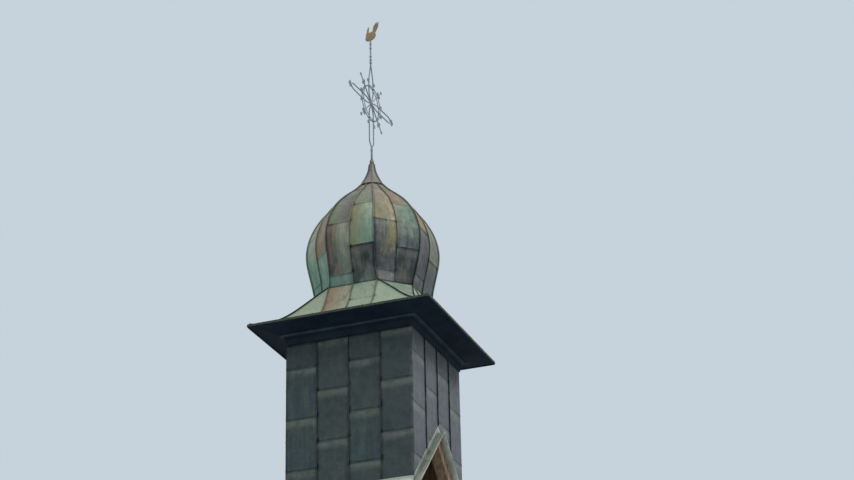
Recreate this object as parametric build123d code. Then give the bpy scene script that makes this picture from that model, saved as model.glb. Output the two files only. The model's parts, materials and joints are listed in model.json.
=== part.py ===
from build123d import *
from math import atan2, cos, degrees, hypot, radians, tan
import os

# Church roof turret with a flared skirt roof, an octagonal onion dome, an iron
# cross and a weathercock. Millimetres, +Z up, origin on the level foot under the
# axis. -Y is the front, +X the right side. The turret stands astride a ridge that
# runs along X, so its side walls have an inverted V cut out of the foot.

# Driving dimensions of the shaft
shaft_width = 2400.0
bays = 4
boarding = 24.0
timber = 160.0
copper = 3.0
seam_height = 25.0
seam_width = 8.0

# Roof that the shaft straddles
roof_pitch = 46.0
roof_foot = 300.0
kerb_depth = 250.0
shaft_above_ridge = 1600.0
rail_depth = 150.0

# Flashing at the roof line
flashing_upstand = 85.0
flashing_lap = 130.0
flashing_sheet = 3.0
leg_gap = 1.0

# Cornice, measured out from the wall and up from the top of the shaft
cornice_height = 300.0
eaves_overhang = 522.0
frieze_out = 18.0
frieze_height = 118.0
cove_out = 84.0
cove_height = 158.0
bead_radius = 14.0
soffit_height = 252.0
fascia_width = 34.0
cornice_bearing = 80.0
drip_width = 10.0
drip_height = 46.0

# Deck and tie beams under the dome
deck_thickness = 30.0
tie_beam_width = 140.0
tie_beam_spacing = 560.0
king_post_radius = 80.0

# Skirt roof, from the eaves up to the foot of the onion
skirt_rise = 810.0
skirt_thickness = 34.0
skirt_corner_start = 24.0
skirt_corner_power = 1.45
skirt_seat = 120.0
seam_end = 0.02

# Onion, across the flats and across the main facets at its foot
onion_foot_half = 948.0
onion_foot_facet = 470.0
onion_belly_half = 1118.0
onion_neck_half = 150.0
onion_rise = 2490.0
onion_wall = 30.0
onion_blend = 700.0
facet_ratio = 1.025
joint_gap = 0.3

# Cap, knob, mast and cross
cap_lip = 12.0
cap_rise = 370.0
mast_radius = 20.0
bore_clearance = 0.3
knob_radius = 44.0
cross_centre_rise = 1680.0
cross_turn = 4.0
cross_bar = 16.0
cross_thickness = 22.0
boss_radius = 46.0
arm_half_width = 88.0
side_arm_half_width = 66.0
arm_side = 890.0
arm_down = 975.0
arm_up = 850.0
arm_taper = 0.13
upper_taper = 0.4
ring_radius = 355.0
ring_bar = 20.0
ring_thickness = 12.0
ray_length = 610.0
ray_bar = 12.0
scroll_radius = 37.0
scroll_bar = 11.0
leaf_radius = 17.0

# Weathercock and the spindle that it turns on
spindle_rise = 520.0
spindle_radius = 15.0
knot_radius = 24.0
pin_radius = 8.0
pin_length = 150.0
running_clearance = 0.06
seat_clearance = 0.3
sleeve_radius = 15.0
cock_thickness = 6.0
cock_length = 360.0
cock_height = 410.0
cock_heading = 22.0

# Sizes that follow from these
half = shaft_width / 2
board_face = half - copper
frame_face = board_face - boarding
frame_inner = frame_face - timber
slope = tan(radians(roof_pitch))
ridge_height = roof_foot + half * slope
shaft_height = ridge_height + shaft_above_ridge
eaves_height = shaft_height + cornice_height
eaves_half = half + eaves_overhang
onion_foot = eaves_height + skirt_rise
onion_top = onion_foot + onion_rise
cap_top = onion_top + cap_rise
cross_centre = onion_top + cross_centre_rise
spindle_foot = cross_centre + arm_up
pin_foot = spindle_foot + spindle_rise

sides = {"front": 0, "right": 90, "back": 180, "left": 270}


def roof_line(distance):
    """Height of the roof surface at a distance from the ridge."""
    return ridge_height - abs(distance) * slope


def notch_line(distance):
    """Lower edge of the side walls, the kerb depth under the roof surface."""
    return roof_line(distance) - kerb_depth


def turn(shape, angle):
    return Rot(0, 0, angle) * shape


def box_between(low, high):
    size = [b - a for a, b in zip(low, high)]
    middle = [(a + b) / 2 for a, b in zip(low, high)]
    return Pos(*middle) * Box(*size)


def yz_prism(points, x_low, x_high):
    """Prism along X whose outline is a list of (y, z) points."""
    outline = Plane.YZ * make_face(Polyline(*points, close=True))
    return Pos(x_low, 0, 0) * extrude(outline, x_high - x_low)


def group(*solids):
    return Compound(children=list(solids))


def solid_of(shape):
    solids = shape.solids()
    return solids[0] if len(solids) == 1 else Compound(children=list(solids))


def mirror_x(shape):
    return mirror(shape, about=Plane.YZ)


def mirror_y(shape):
    return mirror(shape, about=Plane.XZ)


# Timber frame of the shaft
def make_sills():
    sill = box_between((-frame_inner, -frame_face, 0), (frame_inner, -frame_inner, timber))
    return group(sill, mirror_y(sill))


def make_corner_posts():
    top = shaft_height - timber
    post = box_between((frame_inner, -frame_face, 0), (frame_face, -frame_inner, top))
    return group(*[turn(post, angle) for angle in sides.values()])


def make_saddle_rails():
    near = timber / 2
    far = frame_inner
    lift = rail_depth / cos(radians(roof_pitch))
    points = [
        (-near, notch_line(near)),
        (-far, notch_line(far)),
        (-far, notch_line(far) + lift),
        (-near, notch_line(near) + lift),
    ]
    rail = yz_prism(points, frame_inner, frame_face)
    pair = [rail, mirror_y(rail)]
    return group(*pair, *[mirror_x(r) for r in pair])


def make_centre_studs():
    near = timber / 2
    top = shaft_height - timber
    points = [
        (-near, notch_line(near)),
        (0, notch_line(0)),
        (near, notch_line(near)),
        (near, top),
        (-near, top),
    ]
    stud = yz_prism(points, frame_inner, frame_face)
    return group(stud, mirror_x(stud))


def make_long_plates():
    """Head plates over the front and back posts."""
    near = (-frame_face, -frame_face, shaft_height - timber)
    plate = box_between(near, (frame_face, -frame_inner, shaft_height))
    return group(plate, mirror_y(plate))


def make_short_plates():
    """Head plates over the side studs, between the long ones."""
    near = (frame_inner, -frame_inner, shaft_height - timber)
    plate = box_between(near, (frame_face, frame_inner, shaft_height))
    return group(plate, mirror_x(plate))


def make_tie_beams():
    low = shaft_height - timber
    beams = []
    for row in (-1, 0, 1):
        y = row * tie_beam_spacing
        near = y - tie_beam_width / 2
        far = y + tie_beam_width / 2
        beams.append(box_between((-frame_inner, near, low), (frame_inner, far, shaft_height)))
    return group(*beams)


# Boarding on the frame
def make_boarding_front():
    return box_between((-board_face, -board_face, 0), (board_face, -frame_face, shaft_height))


def make_boarding_side():
    """Front half of the right side's boarding, with the slope of the notch."""
    points = [
        (0, notch_line(0)),
        (-frame_face, notch_line(frame_face)),
        (-frame_face, shaft_height),
        (0, shaft_height),
    ]
    return yz_prism(points, frame_face, board_face)


# Copper sheets with standing seams
seam_positions = [-half + (i + 1) * shaft_width / bays for i in range(bays - 1)]
upstand_rise = flashing_upstand / cos(radians(roof_pitch))


def make_cladding_front():
    sheet = box_between((-half, -half, roof_foot), (half, -board_face, shaft_height))
    low = roof_foot + flashing_upstand
    for x in seam_positions:
        near = (x - seam_width / 2, -half - seam_height, low)
        far = (x + seam_width / 2, -half, shaft_height)
        sheet += box_between(near, far)
    return solid_of(sheet)


def make_cladding_side():
    points = [
        (0, ridge_height),
        (-board_face, roof_line(board_face)),
        (-board_face, shaft_height),
        (board_face, shaft_height),
        (board_face, roof_line(board_face)),
    ]
    sheet = yz_prism(points, board_face, half)
    for y in seam_positions:
        low = roof_line(y) + upstand_rise + seam_width
        near = (half, y - seam_width / 2, low)
        far = (half + seam_height, y + seam_width / 2, shaft_height)
        sheet += box_between(near, far)
    return solid_of(sheet)


# Flashing: an upstand on the wall and a lap that lies on the roof
lap_run = flashing_lap * cos(radians(roof_pitch))
sheet_rise = flashing_sheet / cos(radians(roof_pitch))


def make_flashing_leg():
    """Front leg of the right side's inverted V."""
    near = leg_gap / 2
    far = half + lap_run
    lap_points = [
        (-near, roof_line(near)),
        (-far, roof_line(far)),
        (-far, roof_line(far) + sheet_rise),
        (-near, roof_line(near) + sheet_rise),
    ]
    lap = yz_prism(lap_points, half, half + flashing_lap)
    up_points = [
        (-near, roof_line(near)),
        (-half, roof_line(half)),
        (-half, roof_line(half) + upstand_rise),
        (-near, roof_line(near) + upstand_rise),
    ]
    upstand = yz_prism(up_points, half, half + flashing_sheet)
    return solid_of(lap + upstand)


def make_flashing_side():
    leg = make_flashing_leg()
    return group(leg, mirror_y(leg))


def make_flashing_front():
    far = half + lap_run
    points = [
        (-half, roof_foot),
        (-far, roof_line(far)),
        (-far, roof_line(far) + sheet_rise),
        (-half, roof_foot + sheet_rise),
    ]
    lap = yz_prism(points, -half, half)
    near = (-half, -half - flashing_sheet, roof_foot)
    upstand = box_between(near, (half, -half, roof_foot + flashing_upstand))
    return solid_of(lap + upstand)


# Cornice: frieze, cove, bead, soffit and eaves edge, mitred at the corners
def make_cornice_front():
    inner = frame_face - cornice_bearing

    def at(out, up):
        return (-(half + out), shaft_height + up)

    bead_low = cove_height + 4
    bead_high = bead_low + 2 * bead_radius
    frieze = [
        Line((-inner, shaft_height), at(frieze_out, 0)),
        Line(at(frieze_out, 0), at(frieze_out, frieze_height)),
        ThreePointArc(
            at(frieze_out, frieze_height),
            at(frieze_out + 10, cove_height - 12),
            at(cove_out, cove_height),
        ),
    ]
    bead = [
        Line(at(cove_out, cove_height), at(cove_out, bead_low)),
        ThreePointArc(
            at(cove_out, bead_low),
            at(cove_out + bead_radius, bead_low + bead_radius),
            at(cove_out, bead_high),
        ),
    ]
    edge = eaves_overhang - fascia_width
    middle = (cove_out + edge) / 2
    soffit = [
        ThreePointArc(
            at(cove_out, bead_high),
            at(middle, soffit_height - 14),
            at(edge, soffit_height),
        ),
        Line(at(edge, soffit_height), at(edge, soffit_height - 8)),
        Line(at(edge, soffit_height - 8), at(eaves_overhang, soffit_height - 8)),
        Line(at(eaves_overhang, soffit_height - 8), at(eaves_overhang, cornice_height)),
        Line(at(eaves_overhang, cornice_height), (-inner, eaves_height)),
        Line((-inner, eaves_height), (-inner, shaft_height)),
    ]
    outline = Plane.YZ * make_face(frieze + bead + soffit)
    bar = Pos(-eaves_half, 0, 0) * extrude(outline, 2 * eaves_half)
    reach = eaves_half + 1
    corner = make_face(Polyline((0, 0), (reach, -reach), (-reach, -reach), close=True))
    wedge = Pos(0, 0, shaft_height - 1) * extrude(corner, cornice_height + 2)
    return solid_of(bar & wedge)


def make_drip_edge():
    outer = eaves_half + drip_width
    top = eaves_height + 6
    low = top - drip_height
    ring = box_between((-outer, -outer, low), (outer, outer, top))
    hole = box_between((-eaves_half, -eaves_half, low), (eaves_half, eaves_half, top))
    return solid_of(ring - hole)


def make_deck():
    reach = frame_face - cornice_bearing
    top = shaft_height + deck_thickness
    return box_between((-reach, -reach, shaft_height), (reach, reach, top))


def make_king_post():
    foot = shaft_height + deck_thickness
    post = Pos(0, 0, foot) * extrude(Circle(king_post_radius), onion_top - foot)
    return solid_of(post)


# Skirt roof: a profile from the eaves to the onion, as eight lofted panels
skirt_run = eaves_half - onion_foot_half
skirt_profile = Spline(
    (eaves_half, eaves_height),
    (eaves_half - 0.39 * skirt_run, eaves_height + 0.125 * skirt_rise),
    (eaves_half - 0.62 * skirt_run, eaves_height + 0.33 * skirt_rise),
    (eaves_half - 0.82 * skirt_run, eaves_height + 0.66 * skirt_rise),
    (onion_foot_half, onion_foot),
)
skirt_steps = 9


def skirt_station(t):
    """Flat half width, corner cut, height, and the way inwards, at t from 0 to 1."""
    point = skirt_profile @ t
    along = skirt_profile % t
    rise = (point.Y - eaves_height) / skirt_rise
    full_cut = onion_foot_half - onion_foot_facet
    cut = skirt_corner_start + (full_cut - skirt_corner_start) * max(0, rise) ** skirt_corner_power
    wide = -skirt_seat * (1 - t) ** 4
    if t == 1:
        return point.X, cut, point.Y, (-skirt_thickness / along.Y, 0)
    inward = (wide - skirt_thickness * along.Y, skirt_thickness * along.X * min(1, 2 * t))
    return point.X, cut, point.Y, inward


def quad(a, b, c, d):
    return Face(Wire.make_polygon([a, b, c, d]))


def main_quad(flat, cut, height, inward):
    """Section of a front panel: outer edge, then inner edge."""
    deep = flat + inward[0]
    low = height + inward[1]
    outer = flat - cut - joint_gap
    inner = deep - cut - joint_gap
    return quad(
        (-outer, -flat, height),
        (outer, -flat, height),
        (inner, -deep, low),
        (-inner, -deep, low),
    )


def corner_quad(flat, cut, height, inward):
    """Section of the front right corner panel."""
    deep = flat + inward[0]
    low = height + inward[1]
    g = joint_gap
    return quad(
        (flat - cut + g, -flat + g, height),
        (flat - g, -flat + cut - g, height),
        (deep - g, -deep + cut - g, low),
        (deep - cut + g, -deep + g, low),
    )


skirt_stations = [skirt_station(i / (skirt_steps - 1)) for i in range(skirt_steps)]


def make_skirt_panel():
    return solid_of(loft([main_quad(*station) for station in skirt_stations]))


def make_skirt_corners():
    corner = solid_of(loft([corner_quad(*station) for station in skirt_stations]))
    return group(*[turn(corner, angle) for angle in sides.values()])


def seam_strip(stations, width, height, lift):
    """Loft of a standing seam through (point, outward, sideways) stations."""
    sections = []
    for point, outward, sideways in stations:
        foot = point + outward * lift
        head = foot + outward * height
        side = sideways * (width / 2)
        sections.append(quad(foot - side, foot + side, head + side, head - side))
    return solid_of(loft(sections))


def make_skirt_seams():
    """Three seams down each main panel, and one along each hip."""
    strips = []
    low = seam_end
    for x in (-onion_foot_facet, 0, onion_foot_facet):
        high = 1 - seam_end if x == 0 else 0.94
        stations = []
        for i in range(skirt_steps):
            t = high + (low - high) * i / (skirt_steps - 1)
            point = skirt_profile @ t
            along = skirt_profile % t
            outward = Vector(0, -along.Y, -along.X)
            stations.append((Vector(x, -point.X, point.Y), outward, Vector(1, 0, 0)))
        strips.append(seam_strip(stations, seam_width, seam_height, 1.4))
    hip = []
    for i in range(skirt_steps):
        t = low + (1 - 2 * seam_end) * i / (skirt_steps - 1)
        flat, cut, height, _ = skirt_station(t)
        along = skirt_profile % t
        outward = Vector(0.38, -0.92, 0) * along.Y + Vector(0, 0, -along.X)
        sideways = Vector(0.92, 0.38, 0)
        hip.append((Vector(flat - cut, -flat, height), outward, sideways))
    right_hip = seam_strip(hip, seam_width, seam_height, 1.0)
    strips += [right_hip, mirror_x(right_hip)]
    return group(*[turn(strip, angle) for angle in sides.values() for strip in strips])


# Onion: a meridian spline, and eight lofted facets between its arrises
swell = onion_belly_half - onion_foot_half
taper = onion_belly_half - onion_neck_half
onion_profile = Spline(
    (onion_foot_half, onion_foot),
    (onion_foot_half + 0.62 * swell, onion_foot + 0.197 * onion_rise),
    (onion_belly_half, onion_foot + 0.369 * onion_rise),
    (onion_neck_half + 0.882 * taper, onion_foot + 0.578 * onion_rise),
    (onion_neck_half + 0.562 * taper, onion_foot + 0.759 * onion_rise),
    (onion_neck_half + 0.137 * taper, onion_foot + 0.92 * onion_rise),
    (onion_neck_half, onion_top),
)
onion_steps = 17
octagon = facet_ratio * tan(radians(22.5))


def onion_station(t):
    """Flat half width, half facet width and height at t from 0 to 1."""
    point = onion_profile @ t
    flat = point.X
    fade = max(0.0, 1 - (point.Y - onion_foot) / onion_blend)
    extra = onion_foot_facet - onion_foot_half * octagon
    return flat, flat * octagon + extra * fade * fade, point.Y


onion_stations = [onion_station(i / (onion_steps - 1)) for i in range(onion_steps)]


def make_onion_facet(corner):
    sections = []
    for flat, facet, height in onion_stations:
        deep = flat - onion_wall
        inner = facet * deep / flat
        g = joint_gap
        if corner:
            ring = [
                (facet + g, -flat + g, height),
                (flat - g, -facet - g, height),
                (deep - g, -inner - g, height),
                (inner + g, -deep + g, height),
            ]
        else:
            ring = [
                (-facet + g, -flat, height),
                (facet - g, -flat, height),
                (inner - g, -deep, height),
                (-inner + g, -deep, height),
            ]
        sections.append(quad(*ring))
    return solid_of(loft(sections))


def make_onion_seams():
    """A standing seam on every arris, and one down the middle of every facet."""
    arris = []
    main_middle = []
    corner_middle = []
    for flat, facet, height in onion_stations:
        reach = hypot(facet, flat)
        out = Vector(facet / reach, -flat / reach, 0)
        arris.append((Vector(facet, -flat, height), out, Vector(-out.Y, out.X, 0)))
        main_middle.append((Vector(0, -flat, height), Vector(0, -1, 0), Vector(1, 0, 0)))
        centre = (flat + facet) / 2
        slant = Vector(1, -1, 0).normalized()
        across = Vector(1, 1, 0).normalized()
        corner_middle.append((Vector(centre, -centre, height), slant, across))
    right_arris = seam_strip(arris, seam_width, seam_height, 1.0)
    left_arris = mirror_x(right_arris)
    middle = seam_strip(main_middle, seam_width, seam_height, joint_gap)
    corner = seam_strip(corner_middle, seam_width, seam_height, joint_gap)
    strips = [right_arris, left_arris, middle, corner]
    return group(*[turn(strip, angle) for angle in sides.values() for strip in strips])


# Cap, knob and mast
mast_bore = mast_radius + bore_clearance


def make_onion_cap():
    lip = onion_neck_half / cos(radians(22.5)) + cap_lip
    outline = [
        Line((mast_bore, onion_top), (lip, onion_top)),
        Line((lip, onion_top), (lip, onion_top + 18)),
        Line((lip, onion_top + 18), (onion_neck_half, onion_top + 26)),
        Spline(
            (onion_neck_half, onion_top + 26),
            (0.5 * onion_neck_half, onion_top + 0.54 * cap_rise),
            (knob_radius, cap_top),
        ),
        Line((knob_radius, cap_top), (mast_bore, cap_top)),
        Line((mast_bore, cap_top), (mast_bore, onion_top)),
    ]
    return solid_of(revolve(Plane.XZ * make_face(outline), Axis.Z))


def make_knob():
    centre = cap_top + knob_radius
    ball = Pos(0, 0, centre) * Sphere(knob_radius)
    neck = Pos(0, 0, centre) * Cylinder(0.68 * knob_radius, 2 * knob_radius)
    bore = Pos(0, 0, centre) * Cylinder(mast_bore, 4 * knob_radius)
    return solid_of(ball + neck - bore)


def make_mast():
    top = cross_centre - arm_down
    return solid_of(Pos(0, 0, onion_top) * extrude(Circle(mast_radius), top - onion_top))


# Cross: every arm is a pair of bars that part at the boss and close at the tip
def band(points, width, close=False):
    """Flat bar that follows a line of points."""
    line = Polyline(*points, close=close)
    outer = offset(make_face(line), width / 2)
    inner = offset(make_face(line), -width / 2)
    return outer - inner


def bar_between(a, b, width):
    length = hypot(b[0] - a[0], b[1] - a[1])
    angle = atan2(b[1] - a[1], b[0] - a[0])
    middle = Pos((a[0] + b[0]) / 2, (a[1] + b[1]) / 2)
    return middle * Rot(0, 0, degrees(angle)) * Rectangle(length, width)


def arm_outline(length, half_width, taper):
    part = 0.24 * arm_side
    close = taper * length
    loop = [
        (0, 0),
        (part, half_width),
        (length - close, half_width),
        (length, 0),
        (length - close, -half_width),
        (part, -half_width),
    ]
    return band(loop, cross_bar, close=True)


def leaf_tip(reach):
    """Three small discs at the end of an arm or a ray."""
    tip = Pos(reach + 0.8 * leaf_radius, 0) * Circle(leaf_radius)
    for way in (-1, 1):
        tip += Pos(reach, way * 1.2 * leaf_radius) * Circle(leaf_radius)
    return tip


def scroll_pair(reach, bar_face):
    """C-shaped curls on both sides of a bar, just outside the ring."""
    curl = Circle(scroll_radius) - Circle(scroll_radius - scroll_bar)
    pair = []
    for way in (-1, 1):
        corner = Pos(-scroll_radius, way * scroll_radius)
        gap = corner * Rectangle(1.5 * scroll_radius, scroll_radius)
        centre = Pos(reach, way * (bar_face + scroll_radius - scroll_bar / 2))
        pair.append(centre * (curl - gap))
    return pair[0] + pair[1]


def make_cross_frame():
    near = ring_radius + scroll_radius + ring_bar
    flat = Circle(boss_radius)
    side_arm = arm_outline(arm_side, side_arm_half_width, arm_taper) + leaf_tip(arm_side)
    side_arm += scroll_pair(near, side_arm_half_width + cross_bar / 2)
    flat += side_arm + Rot(0, 0, 180) * side_arm
    upright_scrolls = scroll_pair(near + scroll_radius, arm_half_width + cross_bar / 2)
    flat += Rot(0, 0, 90) * (arm_outline(arm_up, arm_half_width, upper_taper) + upright_scrolls)
    flat += Rot(0, 0, 270) * (arm_outline(arm_down, arm_half_width, arm_taper) + upright_scrolls)
    slant = bar_between((0, 0), (ray_length, 0), ray_bar) + leaf_tip(ray_length)
    slant += scroll_pair(near + scroll_radius, ray_bar / 2)
    for quarter in range(4):
        flat += Rot(0, 0, 90 * quarter + 45) * slant
    foot = Pos(0, -arm_down) * Rectangle(2 * mast_radius, 2 * cross_bar)
    head = Pos(0, arm_up) * Rectangle(2 * spindle_radius, 2 * cross_bar)
    flat += foot + head
    keep = Pos(0, (arm_up - arm_down) / 2) * Rectangle(4 * arm_side, arm_up + arm_down)
    standing = Plane.YZ * extrude(flat & keep, cross_thickness / 2, both=True)
    return solid_of(turn(Pos(0, 0, cross_centre) * standing, -cross_turn))


def make_cross_rings():
    ring = Circle(ring_radius + ring_bar / 2) - Circle(ring_radius - ring_bar / 2)
    right = Plane.YZ * extrude(ring, ring_thickness)
    right = solid_of(Pos(cross_thickness / 2, 0, cross_centre) * right)
    return group(turn(right, -cross_turn), turn(right, 180 - cross_turn))


def make_spindle():
    """Rod with knots above the cross and under the cock, ending in the pin."""
    rod = Pos(0, 0, spindle_foot) * extrude(Circle(spindle_radius), spindle_rise)
    for share in (0.08, 0.2, 0.34, 0.7, 0.88):
        rod += Pos(0, 0, spindle_foot + share * spindle_rise) * Sphere(knot_radius)
    rod += Pos(0, 0, pin_foot) * extrude(Circle(pin_radius), pin_length)
    return solid_of(rod)


# Weathercock: a sheet figure on a sleeve
def make_weathercock():
    foot = pin_foot + seat_clearance

    def at(along, up):
        return (along * cock_length, up * cock_height)

    breast = Spline(at(-0.06, 0.04), at(-0.26, 0.11), at(-0.34, 0.28), at(-0.31, 0.5))
    head = [
        Spline(at(-0.31, 0.5), at(-0.23, 0.57), at(-0.2, 0.66)),
        Line(at(-0.2, 0.66), at(-0.31, 0.69)),
        Line(at(-0.31, 0.69), at(-0.2, 0.73)),
        Line(at(-0.2, 0.73), at(-0.2, 0.84)),
        Line(at(-0.2, 0.84), at(-0.15, 0.77)),
        Line(at(-0.15, 0.77), at(-0.1, 0.81)),
        Line(at(-0.1, 0.81), at(-0.08, 0.69)),
    ]
    back = Spline(at(-0.08, 0.69), at(-0.06, 0.56), at(0.05, 0.49), at(0.17, 0.51))
    tail = [
        Spline(at(0.17, 0.51), at(0.19, 0.66), at(0.26, 0.79), at(0.4, 0.88)),
        Spline(at(0.4, 0.88), at(0.57, 0.9), at(0.68, 0.84)),
        Spline(at(0.68, 0.84), at(0.62, 0.72), at(0.62, 0.6)),
        Spline(at(0.62, 0.6), at(0.5, 0.5), at(0.42, 0.34)),
        Spline(at(0.42, 0.34), at(0.28, 0.12), at(0.06, 0.04)),
        Line(at(0.06, 0.04), at(-0.06, 0.04)),
    ]
    figure = Plane.XZ * make_face([breast] + head + [back] + tail)
    plate = extrude(figure, cock_thickness / 2, both=True)
    sleeve_length = pin_length + 20
    sleeve = extrude(Circle(sleeve_radius), sleeve_length)
    bore = extrude(Circle(pin_radius + running_clearance), pin_length + 5)
    cock = plate + sleeve - bore
    return solid_of(turn(Pos(0, 0, foot) * cock, -cock_heading))


def build_nodes():
    side_cladding = make_cladding_side()
    front_cladding = make_cladding_front()
    side_boarding = make_boarding_side()
    side_flashing = make_flashing_side()
    front_flashing = make_flashing_front()
    nodes = {
        "sills": make_sills(),
        "corner_posts": make_corner_posts(),
        "saddle_rails": make_saddle_rails(),
        "centre_studs": make_centre_studs(),
        "long_head_plates": make_long_plates(),
        "short_head_plates": make_short_plates(),
        "tie_beams": make_tie_beams(),
        "boarding_front": make_boarding_front(),
        "boarding_back": turn(make_boarding_front(), 180),
        "boarding_right_front": side_boarding,
        "boarding_right_back": mirror_y(side_boarding),
        "boarding_left_front": mirror_x(side_boarding),
        "boarding_left_back": turn(side_boarding, 180),
        "copper_front": front_cladding,
        "copper_back": turn(front_cladding, 180),
        "copper_right": side_cladding,
        "copper_left": turn(side_cladding, 180),
        "flashing_right": side_flashing,
        "flashing_left": turn(side_flashing, 180),
        "flashing_front": front_flashing,
        "flashing_back": turn(front_flashing, 180),
        "drip_edge": make_drip_edge(),
        "dome_deck": make_deck(),
        "king_post": make_king_post(),
        "skirt_corners": make_skirt_corners(),
        "skirt_seams": make_skirt_seams(),
        "onion_seams": make_onion_seams(),
        "onion_cap": make_onion_cap(),
        "knob": make_knob(),
        "mast": make_mast(),
        "cross_frame": make_cross_frame(),
        "cross_rings": make_cross_rings(),
        "spindle": make_spindle(),
        "weathercock": make_weathercock(),
    }
    cornice = make_cornice_front()
    skirt = make_skirt_panel()
    facet = make_onion_facet(corner=False)
    corner_facet = make_onion_facet(corner=True)
    corner_names = {
        "front": "front_right",
        "right": "back_right",
        "back": "back_left",
        "left": "front_left",
    }
    for side, angle in sides.items():
        nodes["cornice_" + side] = turn(cornice, angle)
        nodes["skirt_" + side] = turn(skirt, angle)
        nodes["onion_" + side] = turn(facet, angle)
        nodes["onion_" + corner_names[side]] = turn(corner_facet, angle)
    return nodes


os.makedirs("parts", exist_ok=True)
for name, shape in build_nodes().items():
    export_step(shape, "parts/" + name + ".step")
    print(name, len(shape.solids()), "solids", round(shape.volume / 1e6), "cm3")
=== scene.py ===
# %% [markdown]
# # A copper roof turret
# The turret is a timber frame, boarded and clad in sheet copper, under a skirt roof,
# an onion dome, a wrought cross and a cock that turns with the wind. The packed
# model is loaded first and is never changed. Its sheets could be drawn with bump
# alone, but then every outline would stay smooth, so each sheet, fold and forged bar
# is a mesh of its own that is laid on the frame. All lengths are metres, with +Z up
# and the front towards -Y. The sides, whose feet are cut to a V, face -X and +X.

# %% Load the frame
import bmesh
import bpy
import json
import numpy as np
from math import cos, pi, radians, sin, tan
from mathutils import Matrix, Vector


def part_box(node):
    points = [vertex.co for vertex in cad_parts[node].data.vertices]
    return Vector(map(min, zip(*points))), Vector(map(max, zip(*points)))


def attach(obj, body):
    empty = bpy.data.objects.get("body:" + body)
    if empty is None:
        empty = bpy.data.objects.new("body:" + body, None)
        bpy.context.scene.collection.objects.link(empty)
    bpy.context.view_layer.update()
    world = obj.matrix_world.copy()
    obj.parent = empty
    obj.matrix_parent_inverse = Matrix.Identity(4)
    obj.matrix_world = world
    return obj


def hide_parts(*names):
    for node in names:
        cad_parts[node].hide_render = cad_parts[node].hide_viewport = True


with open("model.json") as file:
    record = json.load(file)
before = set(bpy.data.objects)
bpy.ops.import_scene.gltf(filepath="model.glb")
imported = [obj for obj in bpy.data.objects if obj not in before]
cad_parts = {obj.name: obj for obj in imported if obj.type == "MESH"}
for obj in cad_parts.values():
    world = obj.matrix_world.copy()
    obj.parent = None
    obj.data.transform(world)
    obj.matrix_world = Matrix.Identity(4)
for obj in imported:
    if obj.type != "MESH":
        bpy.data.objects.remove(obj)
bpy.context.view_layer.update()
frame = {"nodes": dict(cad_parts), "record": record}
nodes = frame["nodes"]

# %% [markdown]
# ## Sizes
# The main sizes could be typed in again. They are read from the boxes of the nodes
# instead, so the skins follow the frame if it changes. Only one angle is given
# here: the pitch at which the feet of the two sides are cut.

# %% Sizes read from the frame
X, Z = 0, 2
ROOF_PITCH = radians(46)


def lowest(name, axis):
    """Lowest place of a node along an axis."""
    return float(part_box(name)[0][axis])


def highest(name, axis):
    """Highest place of a node along an axis."""
    return float(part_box(name)[1][axis])


HALF = highest("copper_front", X)
ROOF_FOOT, SHAFT_TOP = lowest("copper_front", Z), highest("copper_front", Z)
EAVES_HALF, EAVES = highest("cornice_front", X), highest("cornice_front", Z)
ONION_FOOT, ONION_TOP = lowest("onion_front", Z), highest("onion_front", Z)
CAP_TOP = highest("onion_cap", Z)
CROSS_FOOT, CROSS_HEAD = lowest("cross_frame", Z), highest("cross_frame", Z)
COCK_FOOT = lowest("weathercock", Z)
SLOPE = tan(ROOF_PITCH)
RIDGE = ROOF_FOOT + HALF * SLOPE
print("shaft top", round(SHAFT_TOP, 3), "eaves", round(EAVES, 3))
print("onion from", round(ONION_FOOT, 3), "to", round(ONION_TOP, 3))

# %% [markdown]
# ## The camera
# The photograph looks up at the turret from below and from its right, through a
# long lens. A camera can be placed by eye, but a long lens hides errors of depth, so
# its angles and its place were found by fitting the corners, the seams and the eaves
# of the frame to where the picture shows them.

# %% Camera
LENS, FILM_WIDTH = 92.74, 36     # millimetres
FAR = 500
YAW, PITCH, ROLL = 20.39, 25.176, 1.307
EYE = (13.8357, -34.3257, SHAFT_TOP - 15.0256)


def camera_axes(yaw, pitch, roll):
    """Rows right, forward, up: turned by yaw about Z, then pitch, then roll."""
    c, s = cos(radians(yaw)), sin(radians(yaw))
    about_z = np.array([[c, s, 0], [-s, c, 0], [0, 0, 1]])
    c, s = cos(radians(pitch)), sin(radians(pitch))
    about_x = np.array([[1, 0, 0], [0, c, s], [0, -s, c]])
    c, s = cos(radians(roll)), sin(radians(roll))
    about_y = np.array([[c, 0, -s], [0, 1, 0], [s, 0, c]])
    return about_y @ about_x @ about_z


right_way, forward_way, up_way = camera_axes(YAW, PITCH, ROLL)
placing = np.identity(4)
placing[:3] = np.stack([right_way, up_way, -forward_way, EYE], axis=-1)
camera_data = bpy.data.cameras.new("camera")
camera_data.sensor_width = FILM_WIDTH
camera_data.lens = LENS
camera_data.clip_end = FAR
camera = bpy.data.objects.new("camera", camera_data)
camera.matrix_world = Matrix(placing.tolist())
bpy.context.scene.collection.objects.link(camera)
bpy.context.scene.camera = camera
print("camera at", [round(v, 2) for v in EYE])

# %% [markdown]
# ## Grids
# Thin sheet is easiest to make as a grid of points that is worked out as one array,
# for then a buckle or a fold is a term in a sum. Modelling each sheet by hand would
# take days and could not be changed. A `Batch` collects grids and builds one mesh
# from them, with three colours on every face: what the sheet looks like at its foot,
# what at its head, and what the rain has carried down it.

# %% Grids and batches
MERGE = 1e-5


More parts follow.
